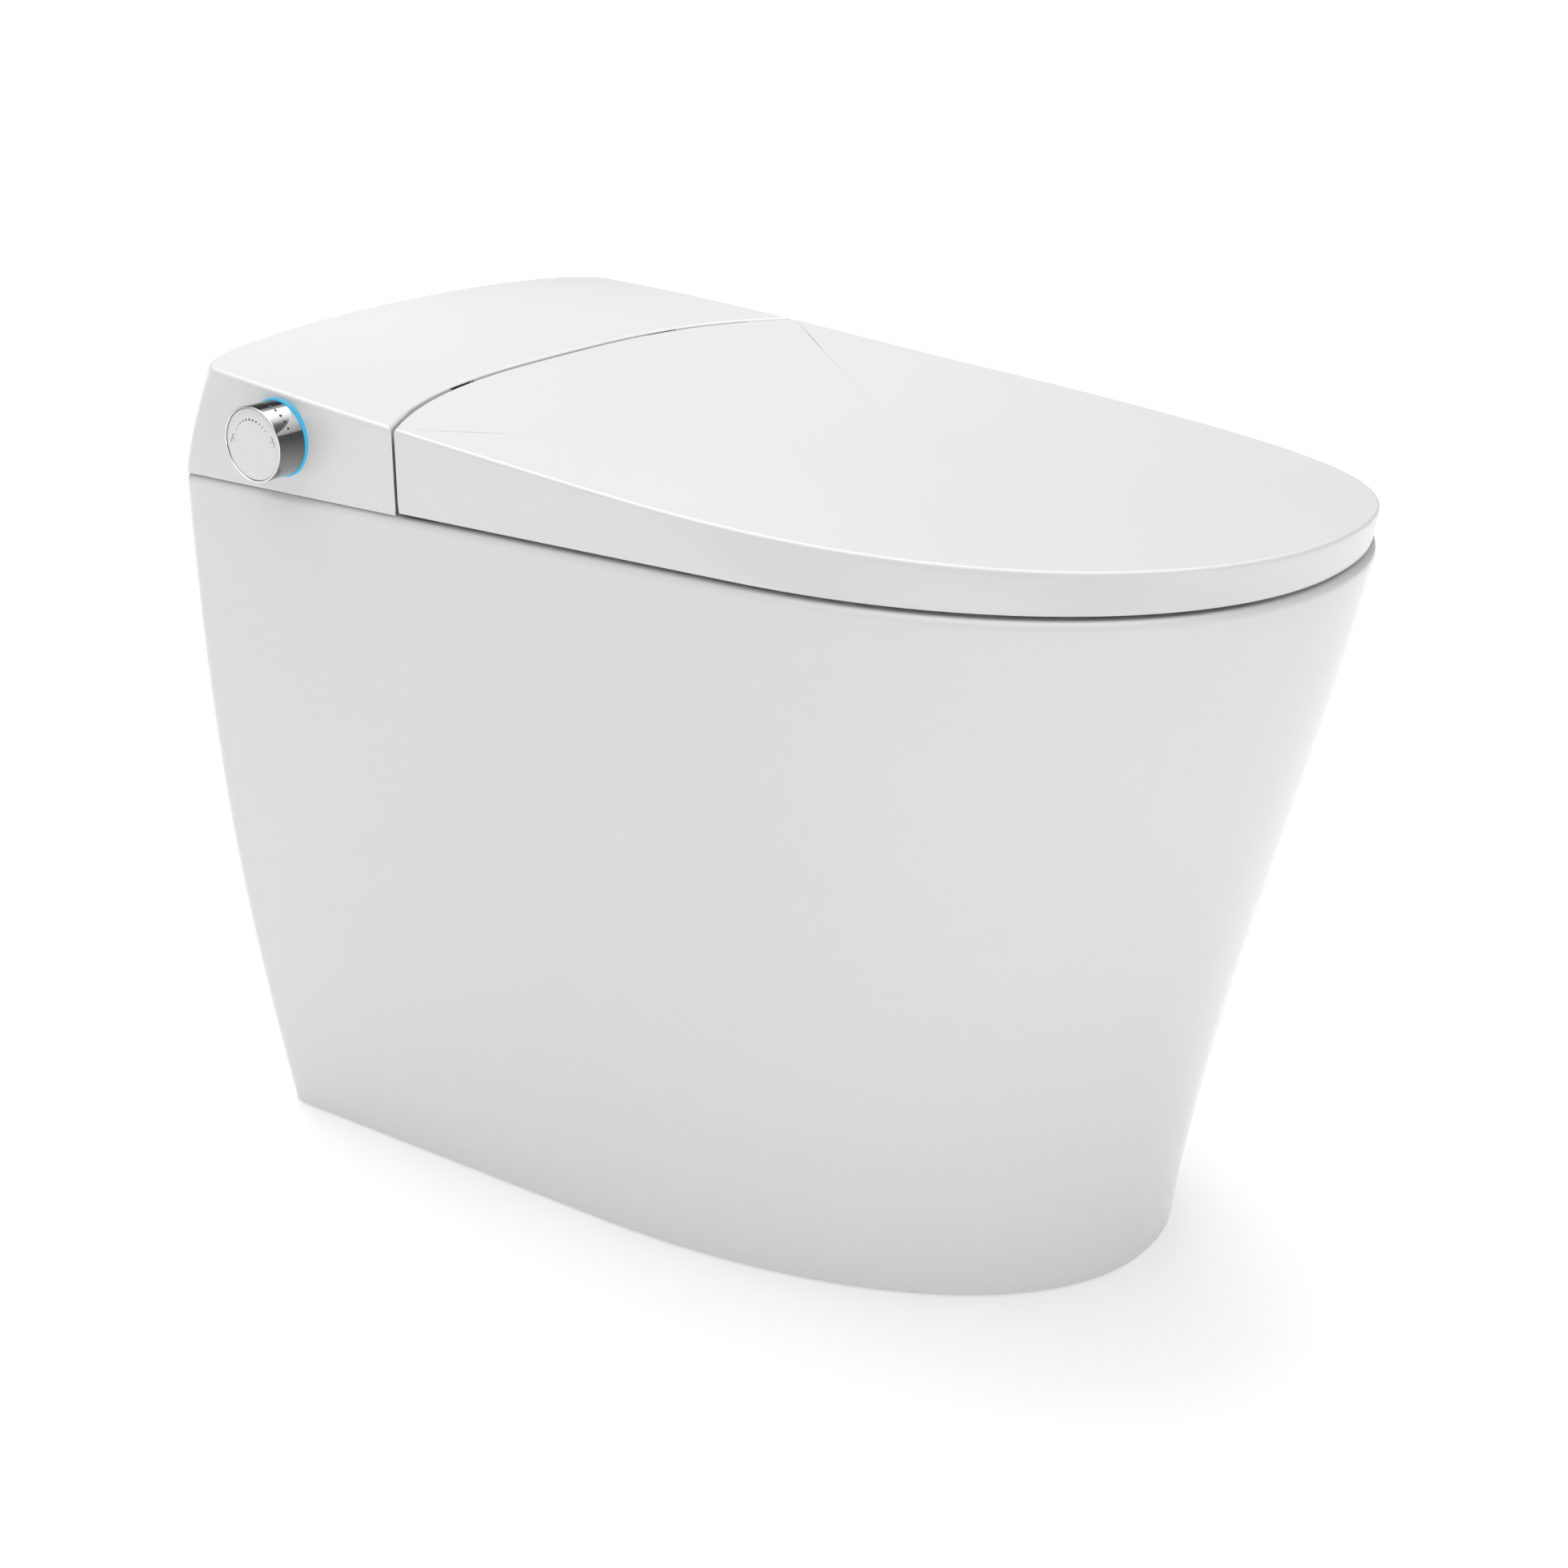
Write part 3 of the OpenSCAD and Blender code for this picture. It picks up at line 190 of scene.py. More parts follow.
LOOKS = {
    "ceramic": dict(low=(0.772, 0.778, 0.782), high=(0.786, 0.79, 0.792),
                    rough=(0.06, 0.09), scale=5.0, grain=(9.0, 0.08, 0.0006), IOR=1.3),
    "gasket_rubber": dict(low=(0.02, 0.02, 0.02), high=(0.035, 0.035, 0.035),
                          rough=(0.6, 0.8), scale=30.0, grain=(900.0, 0.2, 0.0002)),
    "seal_wax": dict(low=(0.16, 0.13, 0.08), high=(0.22, 0.18, 0.11),
                     rough=(0.5, 0.7), scale=40.0, grain=(300.0, 0.3, 0.0005)),
    "cover_plastic": dict(low=(0.786, 0.783, 0.778), high=(0.800, 0.797, 0.791),
                          rough=(0.24, 0.28), scale=3.0, Specular_IOR_Level=0.4),
    # painted shade: a grey for the housing's wall hidden in the seam, to darken the seam
    "painted_seam_shade": dict(low=(0.48, 0.48, 0.48), high=(0.52, 0.52, 0.52),
                        rough=(0.4, 0.5), scale=12.0),
    "liner_plastic": dict(low=(0.78, 0.78, 0.77), high=(0.81, 0.81, 0.80),
                          rough=(0.35, 0.45), scale=12.0, grain=(1800.0, 0.08, 0.0001)),
    "seat_plastic": dict(low=(0.82, 0.82, 0.81), high=(0.845, 0.845, 0.835),
                         rough=(0.20, 0.24), scale=4.0, Specular_IOR_Level=0.45),
    "pad_rubber": dict(low=(0.50, 0.50, 0.49), high=(0.56, 0.56, 0.55),
                       rough=(0.5, 0.65), scale=60.0, grain=(1200.0, 0.15, 0.0001),
                       Subsurface_Weight=0.1),
    "chassis_plastic": dict(low=(0.26, 0.265, 0.27), high=(0.30, 0.305, 0.31),
                            rough=(0.45, 0.6), scale=20.0, grain=(1500.0, 0.25, 0.0002)),
    "part_plastic": dict(low=(0.52, 0.53, 0.54), high=(0.58, 0.59, 0.60),
                         rough=(0.4, 0.55), scale=25.0, grain=(1500.0, 0.2, 0.0002)),
    "dark_plastic": dict(low=(0.012, 0.012, 0.014), high=(0.022, 0.022, 0.024),
                         rough=(0.35, 0.5), scale=30.0, grain=(1500.0, 0.25, 0.0002)),
    "gear_plastic": dict(low=(0.60, 0.57, 0.48), high=(0.66, 0.63, 0.54),
                         rough=(0.35, 0.5), scale=50.0, grain=(900.0, 0.1, 0.0001)),
    "heater_film": dict(low=(0.40, 0.16, 0.04), high=(0.5, 0.22, 0.06),
                        rough=(0.25, 0.4), scale=60.0, grain=(400.0, 0.2, 0.0002)),
    "steel": dict(low=(0.50, 0.50, 0.51), high=(0.60, 0.60, 0.61),
                  rough=(0.18, 0.32), scale=80.0, grain=(1500.0, 0.06, 0.00005),
                  metallic=1.0),
    "chrome": dict(low=(0.66, 0.665, 0.67), high=(0.72, 0.725, 0.73),
                   rough=(0.06, 0.12), scale=60.0, grain=(2500.0, 0.01, 0.00002),
                   metallic=1.0),
    "zinc_arm": dict(low=(0.30, 0.30, 0.31), high=(0.36, 0.36, 0.37),
                     rough=(0.35, 0.5), scale=40.0, grain=(700.0, 0.15, 0.0001),
                     metallic=0.6),
    "brass": dict(low=(0.50, 0.34, 0.13), high=(0.60, 0.43, 0.19),
                  rough=(0.2, 0.35), scale=80.0, grain=(900.0, 0.08, 0.00005),
                  metallic=1.0),
    "carbon": dict(low=(0.01, 0.01, 0.01), high=(0.02, 0.02, 0.02),
                   rough=(0.7, 0.9), scale=90.0, grain=(700.0, 0.5, 0.0004)),
    "board_green": dict(low=(0.01, 0.09, 0.035), high=(0.02, 0.14, 0.06),
                        rough=(0.25, 0.4), scale=60.0, grain=(500.0, 0.15, 0.0001)),
}
MATS = {name: surface(name, **look_of) for name, look_of in LOOKS.items()}

# painted reflections on the chrome: its tone by how far its surface faces up, 0 straight
# down, 1 straight up
PAINTED_CHROME_REFLECTIONS = [(0.0, 0.42), (0.30, 0.30), (0.60, 0.11), (0.665, 0.10), (0.68, 0.50),
                (0.80, 0.95), (0.945, 1.0), (0.952, 0.10), (1.0, 0.06)]
PAINTED_CHROME_END = (0.85, 0.85, 0.86)     # painted reflection where it faces along the knob's axis


def paint_chrome_reflections(m):
    """Painted reflections in polished metal's colour: dark and bright studio bands, by the
    way its surface faces.
    """
    t = m.node_tree
    facing = t.nodes.new("ShaderNodeNewGeometry")
    axes = t.nodes.new("ShaderNodeSeparateXYZ")
    t.links.new(facing.outputs["Normal"], axes.inputs["Vector"])
    ramp = t.nodes.new("ShaderNodeValToRGB")
    stops = ramp.color_ramp.elements
    while len(stops) < len(PAINTED_CHROME_REFLECTIONS):
        stops.new(0.5)
    for stop, (at, tone) in zip(stops, PAINTED_CHROME_REFLECTIONS):
        stop.position = at
        stop.color = (tone, tone, tone, 1)
    t.links.new(map_range(t, axes.outputs["Z"], (-1.0, 1.0), (0.0, 1.0)), ramp.inputs["Fac"])
    end = t.nodes.new("ShaderNodeMath")
    end.operation = "ABSOLUTE"
    t.links.new(axes.outputs["X"], end.inputs[0])
    mixer = t.nodes.new("ShaderNodeMixRGB")
    mixer.inputs["Color2"].default_value = (*PAINTED_CHROME_END, 1)
    t.links.new(end.outputs["Value"], mixer.inputs["Fac"])
    t.links.new(ramp.outputs["Color"], mixer.inputs["Color1"])
    t.links.new(mixer.outputs["Color"], t.nodes["Principled BSDF"].inputs["Base Color"])


paint_chrome_reflections(MATS["chrome"])
light_mat, light_tree, light_bsdf = principled(
    "light_guide", (0.02, 0.10, 0.16), 0.4, Emission_Color=(0.07, 0.48, 0.74, 1),
    Emission_Strength=0.8, Specular_IOR_Level=0.2)
tint(light_tree, noise(light_tree, 120.0), (0.02, 0.09, 0.15), (0.03, 0.11, 0.17),
     light_bsdf.inputs["Base Color"])
MATS["light_guide"] = light_mat
PRINT = surface("knob_print", (0.016, 0.017, 0.019), (0.03, 0.03, 0.033), (0.35, 0.5), 300.0)

slot_of = {s["node"]: s["material_slot"] for s in frame["record"]["subparts"]}
for node, obj in frame["nodes"].items():
    obj.data.materials.clear()
    obj.data.materials.append(MATS[slot_of[node]])


# ---- mesh helpers

CUT_CREASE = 35     # degrees of turn above which a cut piece's edge stays sharp


def solid(name, verts, faces):
    """A new object in the scene, from vertices in mm, with its faces turned outwards."""
    mesh = bpy.data.meshes.new(name)
    mesh.from_pydata([Vector(v) * MM for v in verts], [], faces)
    mesh.validate()
    bm = bmesh.new()
    bm.from_mesh(mesh)
    bmesh.ops.remove_doubles(bm, verts=bm.verts, dist=1e-6)
    bmesh.ops.recalc_face_normals(bm, faces=bm.faces)
    bm.to_mesh(mesh)
    bm.free()
    o = bpy.data.objects.new(name, mesh)
    bpy.context.scene.collection.objects.link(o)
    return o


def shade(obj, sharp):
    """Smooth shading, broken at edges that turn by more than sharp degrees."""
    bm = bmesh.new()
    bm.from_mesh(obj.data)
    for f in bm.faces:
        f.smooth = True
    for e in bm.edges:
        if len(e.link_faces) == 2:
            e.smooth = e.calc_face_angle(0) <= math.radians(sharp)
    bm.to_mesh(obj.data)
    bm.free()


def attach(obj, body, replaces):
    """Puts a piece on its body, in place of the CAD nodes it replaces."""
    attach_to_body(obj, body)
    if replaces:
        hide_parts(*replaces)


def add(name, shape, mat, body, replaces, sharp):
    o = solid(name, *shape)
    shade(o, sharp)
    o.data.materials.append(mat)
    attach(o, body, replaces)


def cut_solid(name, shape, openings, mat):
    """A new object with closed solids cut out of it."""
    o = solid(name, *shape)
    o.data.materials.append(mat)
    for opening in openings:
        tool = solid("cut", *opening)
        m = o.modifiers.new("cut", "BOOLEAN")
        m.object = tool
        m.operation = "DIFFERENCE"
        m.solver = "EXACT"
        bpy.context.view_layer.update()
        done = bpy.data.meshes.new_from_object(
            o.evaluated_get(bpy.context.evaluated_depsgraph_get()))
        o.modifiers.clear()
        o.data = done
        bpy.data.objects.remove(tool)
    shade(o, CUT_CREASE)
    return o


def loft(rings, closed=False):
    """Vertices and faces of rings of equal count, capped or closed on themselves."""
    n, m = len(rings[0]), len(rings)
    verts = [p for r in rings for p in r]
    faces = []
    for k in range(m if closed else m - 1):
        a, b = k * n, ((k + 1) % m) * n
        for i in range(n):
            j = (i + 1) % n
            faces.append((a + i, a + j, b + j, b + i))
    if not closed:
        faces.append(tuple(range(n - 1, -1, -1)))
        faces.append(tuple((m - 1) * n + i for i in range(n)))
    return verts, faces


def circle(n, r=1.0):
    return [(r*math.cos(2*math.pi*i/n), r*math.sin(2*math.pi*i/n)) for i in range(n)]


def bez(a, b, c, d, t):
    return a*(1 - t)**3 + 3*b*t*(1 - t)**2 + 3*c*t*t*(1 - t) + d*t**3


def bez_at(h1, h2, v):
    """The t at which a Bezier curve from 0 to 1 with handles h1 and h2 reaches v."""
    lo, hi = 0.0, 1.0
    for _ in range(30):
        mid = (lo + hi) / 2
        if bez(0, h1, h2, 1, mid) < v:
            lo = mid
        else:
            hi = mid
    return (lo + hi) / 2


def mix(a, b, t):
    return a + (b - a) * t


def inset(points, d):
    """Moves a closed plan outline inwards by d, keeping each point's height if it has one."""
    out = []
    for i, p in enumerate(points):
        a, b = points[i - 1], points[(i + 1) % len(points)]
        t = Vector((b[0] - a[0], b[1] - a[1]))
        t.normalize()
        out.append((p[0] - t.y*d, p[1] + t.x*d, *p[2:]))
    return out


# ---- ceramic body

CHINA_T = 11            # wall thickness
RIM_OUT_R = 5.0         # radius of the rim's outer edge
RIM_IN_R = 7            # and of its inner edge
# how the width and the length swell from foot to rim: what the curve's two inner
# handles add to the foot's measure and the rim's, and their shares of the height
WIDTH_SWELL, WIDTH_AT = (37.6, 1.0), (0.297, 0.538)
LENGTH_SWELL, LENGTH_AT = (12.3, -18.4), (0.321, 0.719)
WIDEST_S = (276, 420)   # where the foot and the rim are widest
BACK_EASE = 1.14        # how the rear leans out from the foot's edge to the rim's
BACK_NARROW = 2         # how much narrower each side is at the back
BACK_R = 18             # radius of the upright rear corners
BODY_POWER = 2.17       # of the front's superellipse
SUMP_S, SUMP_R = 400.0, 38.0
BOWL_S, BOWL_HALF = 425.0, 142
BOWL_FRONT, BOWL_REAR = 190, 200
BOWL_LOW = 152          # height at which the bowl starts to widen from the sump
BOWL_FLARE = 0.85


def plan(s0, length, width, s1, narrow, z):
    """The body's outline at height z, from its rear edge s0 to its front tip."""
    wb = width / 2 - narrow
    half = [((wb - BACK_R) * i / 10, s0) for i in range(10)]
    half += [(wb - BACK_R + BACK_R*math.sin(a), s0 + BACK_R - BACK_R*math.cos(a))
             for a in [math.radians(9 * i) for i in range(11)]]
    for i in range(1, 24):
        s = s0 + BACK_R + (s1 - s0 - BACK_R) * i / 24
        half.append((width/2 - narrow*((s1 - s)/(s1 - s0 - BACK_R))**2, s))
    for i in range(57):
        a = math.radians(90 * i / 56)
        half.append((width/2 * max(0.0, math.cos(a))**(2/BODY_POWER),
                     s1 + (length - s1) * math.sin(a)**(2/BODY_POWER)))
    ring = half + [(-x, s) for x, s in half[-2:0:-1]]
    return [(-x, OUTLET - s, z) for x, s in ring]


def swell(foot, rim, handles, shares, v):
    return bez(foot, foot + handles[0], rim + handles[1], rim, bez_at(*shares, v))


def body_plan(z):
    v = z / RIM_H
    w = swell(FOOT_W, RIM_W, WIDTH_SWELL, WIDTH_AT, v)
    length = swell(FOOT_LEN, RIM_LEN, LENGTH_SWELL, LENGTH_AT, v)
    a = min(1.0, (w - FOOT_W) / (RIM_W - FOOT_W))
    b = (length - FOOT_LEN) / (RIM_LEN - FOOT_LEN)
    return plan(FOOT_BACK * (1 - a)**BACK_EASE, length, w, mix(*WIDEST_S, b),
                BACK_NARROW * a, z)


rim_ring = body_plan(RIM_H)


def bowl_ring(k, z, grow=0.0):
    """Bowl outline at height z, from the round sump at k = 0 to the rim at k = 1."""
    cy = OUTLET - mix(SUMP_S, BOWL_S, k)
    power = mix(2, 2.2, k)
    out = []
    for p in rim_ring:
        d = Vector((p[0], p[1] - (OUTLET - BOWL_S)))
        d.normalize()
        ly = mix(SUMP_R, BOWL_FRONT if d.y < 0 else BOWL_REAR, k) + grow
        lx = mix(SUMP_R, BOWL_HALF, k) + grow
        r = (abs(d.x / lx)**power + abs(d.y / ly)**power)**(-1 / power)
        out.append((d.x * r, cy + d.y * r, z))
    return out


def flare(q, drop=0.0, grow=0.0):
    """Bowl outline at share q of the way from where it starts to widen up to the rim."""
    return bowl_ring(math.sin(math.pi/2*q)**BOWL_FLARE,
                     mix(BOWL_LOW, RIM_H - RIM_IN_R, q) - drop, grow)


def ceramic():
    # the sump's rounded floor and wall, the bowl, and the rim's inner edge
    rings = [bowl_ring(0, 74, -10), bowl_ring(0, 77, -4), bowl_ring(0, 83)]
    rings += [bowl_ring(0, mix(90, 150, i / 3)) for i in range(4)]
    rings += [flare(i / 28) for i in range(1, 29)]
    rings += [bowl_ring(1, RIM_H - RIM_IN_R + RIM_IN_R*math.sin(a),
                        RIM_IN_R*(1 - math.cos(a))) for a in QUARTER]
    # the rim's top and outer edge, and the skirt down to its foot
    rings.append(inset(rim_ring, RIM_OUT_R + 0.6))
    rings += [inset(body_plan(RIM_H - RIM_OUT_R*(1 - math.cos(a))),
                    RIM_OUT_R*(1 - math.sin(a))) for a in QUARTER]
    rings += [body_plan((RIM_H - RIM_OUT_R) * (1 - i/44) + (1.5 if i == 44 else 0))
              for i in range(1, 45)]
    rings += [inset(body_plan(z), d) for z, d in ((0.4, 1.2), (0, 2.4), (0, CHINA_T))]
    # up inside the skirt, and down round the bowl and the sump
    rings += [inset(body_plan((RIM_H - CHINA_T) * i / 8), CHINA_T) for i in range(1, 9)]
    rings.append(bowl_ring(1, RIM_H - CHINA_T, CHINA_T))
    rings += [flare(i / 28, 6, CHINA_T) for i in range(27, 0, -3)]
    rings += [bowl_ring(0, 146, CHINA_T), bowl_ring(0, 70, CHINA_T), bowl_ring(0, 63, 3)]
    return loft(rings)


def cutter(x0, x1, s0, s1, z0, z1, r):
    """A box with rounded upright edges, used to cut an opening."""
    w, d = (x1 - x0)/2, (s1 - s0)/2
    cx, cy = (x0 + x1)/2, OUTLET - (s0 + s1)/2
    ring = []
    for q, (sx, sy) in enumerate([(1, 1), (-1, 1), (-1, -1), (1, -1)]):
        for i in range(7):
            a = math.radians(90*q + 15*i)
            ring.append((cx + sx*(w - r) + r*math.cos(a), cy + sy*(d - r) + r*math.sin(a)))
    return loft([[(x, y, z) for x, y in ring] for z in (z0, z1)])


def bore_y(x, y0, y1, z, r):
    """A round bar along Y, used to cut a bore."""
    return loft([[(x + p, y, z + q) for p, q in circle(48, r)] for y in (y0, y1)])


body = cut_solid("ceramic_body", ceramic(), [
    cutter(-76, 76, 119, 262, 400, 460, 6),         # notch in the rim for the wands
    cutter(-95, 95, 35, 110, 400, 460, 6),          # opening in the deck
    cutter(-95, 95, -30, 40, 70, 330, 12),          # service opening at the back
    bore_y(0, -116, -50, 112, 26),                  # from the sump to the trapway
], MATS["ceramic"])
attach(body, "root", ["china_body"])


# ---- lid and housing

TOP_CURVE, TOP_LEN = (501.2, 487.2, 447, 459.9), 666    # height of the top along s
# half width at the bottom and at the top, how much of it goes towards the back, and
# where that starts
LOW_HALF, LOW_PULL, LOW_START = 197.0, 1.5, 400
HIGH_HALF, HIGH_PULL, HIGH_START = 196.4, 13.0, 200
# the lid's front, at the bottom and at the top: where it starts, its power and its tip
NOSE_START, NOSE_POWER, NOSE_TIP = (412, 334.6), (2.17, 2.236), (661.5, 666)
# the housing's rear edge: corner depth and power at the bottom; reach, corner depth and
# powers at the top; and how the one becomes the other
LOW_CORNER, LOW_BACK_POWER = 15, 20
BACK_REACH, BACK_CORNER, BACK_POWERS = 4.0, 43.0, (3.6, 1/4.6)
BACK_SHARE = 1.6
CROWN, CROWN_LEN = 8.0, 140     # height and length of the crown towards the back
LID_R, HOUSE_R, WALL = 2.2, 3.0, 2.5
FOOT_EASE = 0.35                # how far the covers' bottom edges are drawn in


def top_z(s):
    return bez(*TOP_CURVE, max(0.0, s) / TOP_LEN)


def seam(u):
    return SEAM_SIDE - SEAM_BOW * (1 - abs(u)**SEAM_POWER)


def half_width(s, v):
    """Side of the covers: at the bottom it follows the rim, at the top it is straighter."""
    low = LOW_HALF - LOW_PULL * (max(0.0, LOW_START - s) / LOW_START)**2
    high = HIGH_HALF - HIGH_PULL * (max(0.0, HIGH_START - s) / HIGH_START)**2
    return mix(low, high, v)


def nose(a, v):
    """Point on the lid's front outline at angle a and height share v."""
    s1 = mix(*NOSE_START, v)
    e = 2 / mix(*NOSE_POWER, v)
    return (half_width(s1, v) * max(0.0, math.cos(a))**e,
            s1 + (mix(*NOSE_TIP, v) - s1)*math.sin(a)**e)


def lid_outline(v):
    """Closed outline at height share v, as (x, s)."""
    s0, s1 = SEAM_SIDE + SEAM_GAP/2, mix(*NOSE_START, v)
    right = []
    for i in range(16):
        s = mix(s0, s1, i / 16)
        right.append((half_width(s, v), s))
    right += [nose(math.radians(90 * i / 60), v) for i in range(61)]
    us = [math.sin(math.radians(90 * i / 28)) for i in range(28)]
    half = [(u * half_width(s0, v), seam(u) + SEAM_GAP/2) for u in us] + right
    return half + [(-x, s) for x, s in half[-2:0:-1]]


def lid_inset(v, d):
    """The lid's outline moved inwards by d, with its two corners at the seam kept square."""
    out = []
    for x, s in inset(lid_outline(v), d):
        if s < 300:
            w = half_width(s, v)
            x = max(d - w, min(w - d, x))
            s = max(s, seam(abs(x) / w) + SEAM_GAP/2 + d)
        out.append((x, s))
    return out


def radial_fill(rings, steps, centre_s, top):
    """Carries the last ring in to a point on the middle line over the height top(s, x)."""
    edge = rings[-1]
    cy = OUTLET - centre_s
    for k in range(1, steps):
        t = 1 - k / steps
        ring = []
        for p in edge:
            x, y = p[0]*t, cy + (p[1] - cy)*t
            ring.append((x, y, top(OUTLET - y, x)))
        rings.append(ring)
    return rings


def cover_mesh(outline, top, foot, edge_r, chamfer, centre_s, steps):
    """A thin cover: up the outside, over the rounded edge and the top, and back inside.

    outline(v, d) is the plan at height share v moved inwards by d, top(s, x) the top's
    height, foot the underside's, and chamfer the size of the inside corner.
    """
    def ring(v, d, z_of):
        return [(-x, OUTLET - s, z_of(s, x)) for x, s in outline(v, d)]

    outer = []
    for k in range(9):
        outer.append(ring(k / 8, 0.0 if k else FOOT_EASE,
                          lambda s, x, v=k / 8: mix(foot, top(s, x) - edge_r, v)))
    for a in QUARTER:
        outer.append(ring(1.0, edge_r*(1 - math.cos(a)),
                          lambda s, x, a=a: top(s, x) - edge_r*(1 - math.sin(a))))
    outer.append(ring(1.0, edge_r + 0.7, top))
    outer = radial_fill(outer, steps, centre_s, top)
    inner = [ring(v, WALL, lambda s, x, v=v: mix(foot, top(s, x) - WALL - chamfer, v))
             for v in (0.0, 0.5, 1.0)]
    inner.append(ring(1.0, WALL + chamfer, lambda s, x: top(s, x) - WALL))
    inner = radial_fill(inner, 12, centre_s, lambda s, x: top(s, x) - WALL)
    return loft(inner[::-1] + outer)


lid = cover_mesh(lid_inset, lambda s, x: top_z(s), COVER_Z, LID_R, 1, centre_s=400, steps=26)
add("lid_skin", lid, MATS["cover_plastic"], "lid", ["lid_shell"], 40)


def back_edge(u, v):
    """Rear edge at height share v: the rim's corner at the bottom, a long arc at the top."""
    low = LOW_CORNER * (1 - math.sqrt(max(0.0, 1 - abs(u)**LOW_BACK_POWER)))
    p, q = BACK_POWERS
    high = BACK_REACH + BACK_CORNER * (1 - (1 - abs(u)**p)**q)
    return mix(low, high, v**BACK_SHARE)


def house_outline(v):
    """Closed outline at height share v, as (x, s)."""
    back = []
    for i in range(61):
        u = math.sin(math.radians(mix(-90, 90, i / 60)))
        s = back_edge(u, v)
        back.append((u * half_width(s, v), s))
    s_end = SEAM_SIDE - SEAM_GAP/2
    side = []
    for i in range(1, 16):
        s = mix(back[-1][1], s_end, i / 16)
        side.append((half_width(s, v), s))
    front = []
    for i in range(45):
        u = math.sin(math.radians(mix(90, -90, i / 44)))
        front.append((u * half_width(s_end, v), seam(u) - SEAM_GAP/2))
    return back + side + front + [(-x, s) for x, s in side[::-1]]


def house_inset(v, d):
    """The housing's outline moved inwards by d, with its corners at the seam kept square."""
    out = []
    for x, s in inset(house_outline(v), d):
        if s > 110:
            w = half_width(s, v)
            x = max(d - w, min(w - d, x))
            s = min(s, seam(abs(x) / w) - SEAM_GAP/2 - d)
        out.append((x, s))
    return out


def house_top(s, x):
    u = max(-1.0, min(1.0, x / half_width(s, 1.0)))
    back = max(0.0, SEAM_SIDE - SEAM_BOW - s) / CROWN_LEN
    return top_z(s) + CROWN * (1 - u*u) * back**1.5


house = cut_solid(
    "housing_skin",
    cover_mesh(house_inset, house_top, FOOT_Z, HOUSE_R, 2, centre_s=36, steps=18), [
        cutter(-74, 74, 125, 200, 430, 466, 1),             # behind the front plate
        cutter(-172.3, 172.3, 100, 186.3, 430, 439.2, 1),   # over the chassis tray
        cutter(84.5, 109.5, 136, 200, 445, 488, 1),         # for the hinge arms
        cutter(-109.5, -84.5, 136, 200, 445, 488, 1),
    ], MATS["cover_plastic"])
# painted shade: the wall that the lid's rear edge hides is painted grey, which darkens the
# seam
house.data.materials.append(MATS["painted_seam_shade"])
for f in house.data.polygons:
    u = min(1.0, abs(f.center.x) / (LOW_HALF * MM))
    if f.normal.y < -0.75 and OUTLET - f.center.y / MM > seam(u) - 4:
        f.material_index = 1
attach(house, "root", ["housing_cover"])


# ---- knob, turned about its own axis, which points outwards along -X

KNOB_R, KNOB_LEN = 22.0, 20.0
KNOB_FOOT = KNOB.x - 0.4        # its inner end, clear of the housing
FACE_H = KNOB_LEN - 0.24        # where the print sits on the face
PRINT_T = 0.12


def lathe(profile):
    """Rings of (radius, distance outwards) turned about the knob's axis."""
    return [[(KNOB_FOOT - h, KNOB.y + p, KNOB.z + q) for p, q in circle(72, r)]
            for r, h in profile]


def disc(radius, across, up):
    """A thin printed dot on the knob's face."""
    return loft([[(KNOB_FOOT - FACE_H - k, KNOB.y + across + p, KNOB.z + up + q)
                  for p, q in circle(20, radius)] for k in (0.0, PRINT_T)])


def joined(parts):
    verts, faces = [], []
    for v, f in parts:
        k = len(verts)
        verts += v
        faces += [tuple(i + k for i in q) for q in f]
    return verts, faces


def sleeve():
    r, end = KNOB_R, KNOB_LEN
    cup_floor = [(4.02, 4.0), (18, 4.0), (20.5, 4.4), (21.0, 5.2), (21.0, 5.5)]
    cup_wall = [(21.0, end - 0.9), (21.0, end - 0.7), (21.1, end - 0.2)]
    lip = [(21.25, end), (21.55, end), (21.85, end - 0.15), (r, end - 0.5)]
    wall = [(r, end - 0.7), (r, 0.8), (r, 0.6), (21.8, 0.1), (21.2, 0.0), (4.02, 0.0)]
    return lathe(cup_floor + cup_wall + lip + wall)


def cap():
    end = KNOB_LEN
    stem = [(2.5, 3.0), (2.5, end - 3), (6.0, end - 3), (6.0, 9.0), (6.1, 9.0)]
    under = [(6.1, end - 3), (18.2, end - 3), (18.2, 9.2), (18.6, 9.0), (20.6, 9.0)]
    edge = [(20.85, 9.4), (20.85, end - 0.9), (20.7, end - 0.5), (20.3, end - 0.3)]
    face = [(12, end - 0.22), (5, end - 0.2)]
    return lathe(stem + under + edge + face)


ARC_R, ARC_DOTS, ARC_SPAN = 14.4, 11, (140, 32)             # dots over the top of the face
WASH_MARKS = ((-15.8, 3.6, 70), (15.2, 1.6, -60))           # across, up and turn of each
MARK_DOT = 0.16


def face_marks():
    """An arc of dots, largest in the middle, and two wash marks."""
    dots = []
    for i in range(ARC_DOTS):
        a = math.radians(mix(*ARC_SPAN, i / (ARC_DOTS - 1)))
        dots.append(disc(0.3 + 0.32*math.exp(-((i - 4.5)/2.6)**2),
                         ARC_R*math.cos(a), ARC_R*math.sin(a)))
    for across, up, turn in WASH_MARKS:
        c, sn = math.cos(math.radians(turn)), math.sin(math.radians(turn))
        strokes = []
        for bow in (-1.5, 1.5):
            for i in range(9):
                q = math.radians(mix(20, 160, i / 8))
                strokes.append((bow + 1.35*math.cos(q), 1.3*math.sin(q)))
        strokes += [(0.0, -0.7 - 0.9*i) for i in range(3)]
        dots += [disc(MARK_DOT, across + p*c - w*sn, up + p*sn + w*c) for p, w in strokes]
    return joined(dots)


WALL_DOTS, WALL_DOT_R, WALL_DOT_SPAN = 7, (1.25, 0.6), (6, 74)


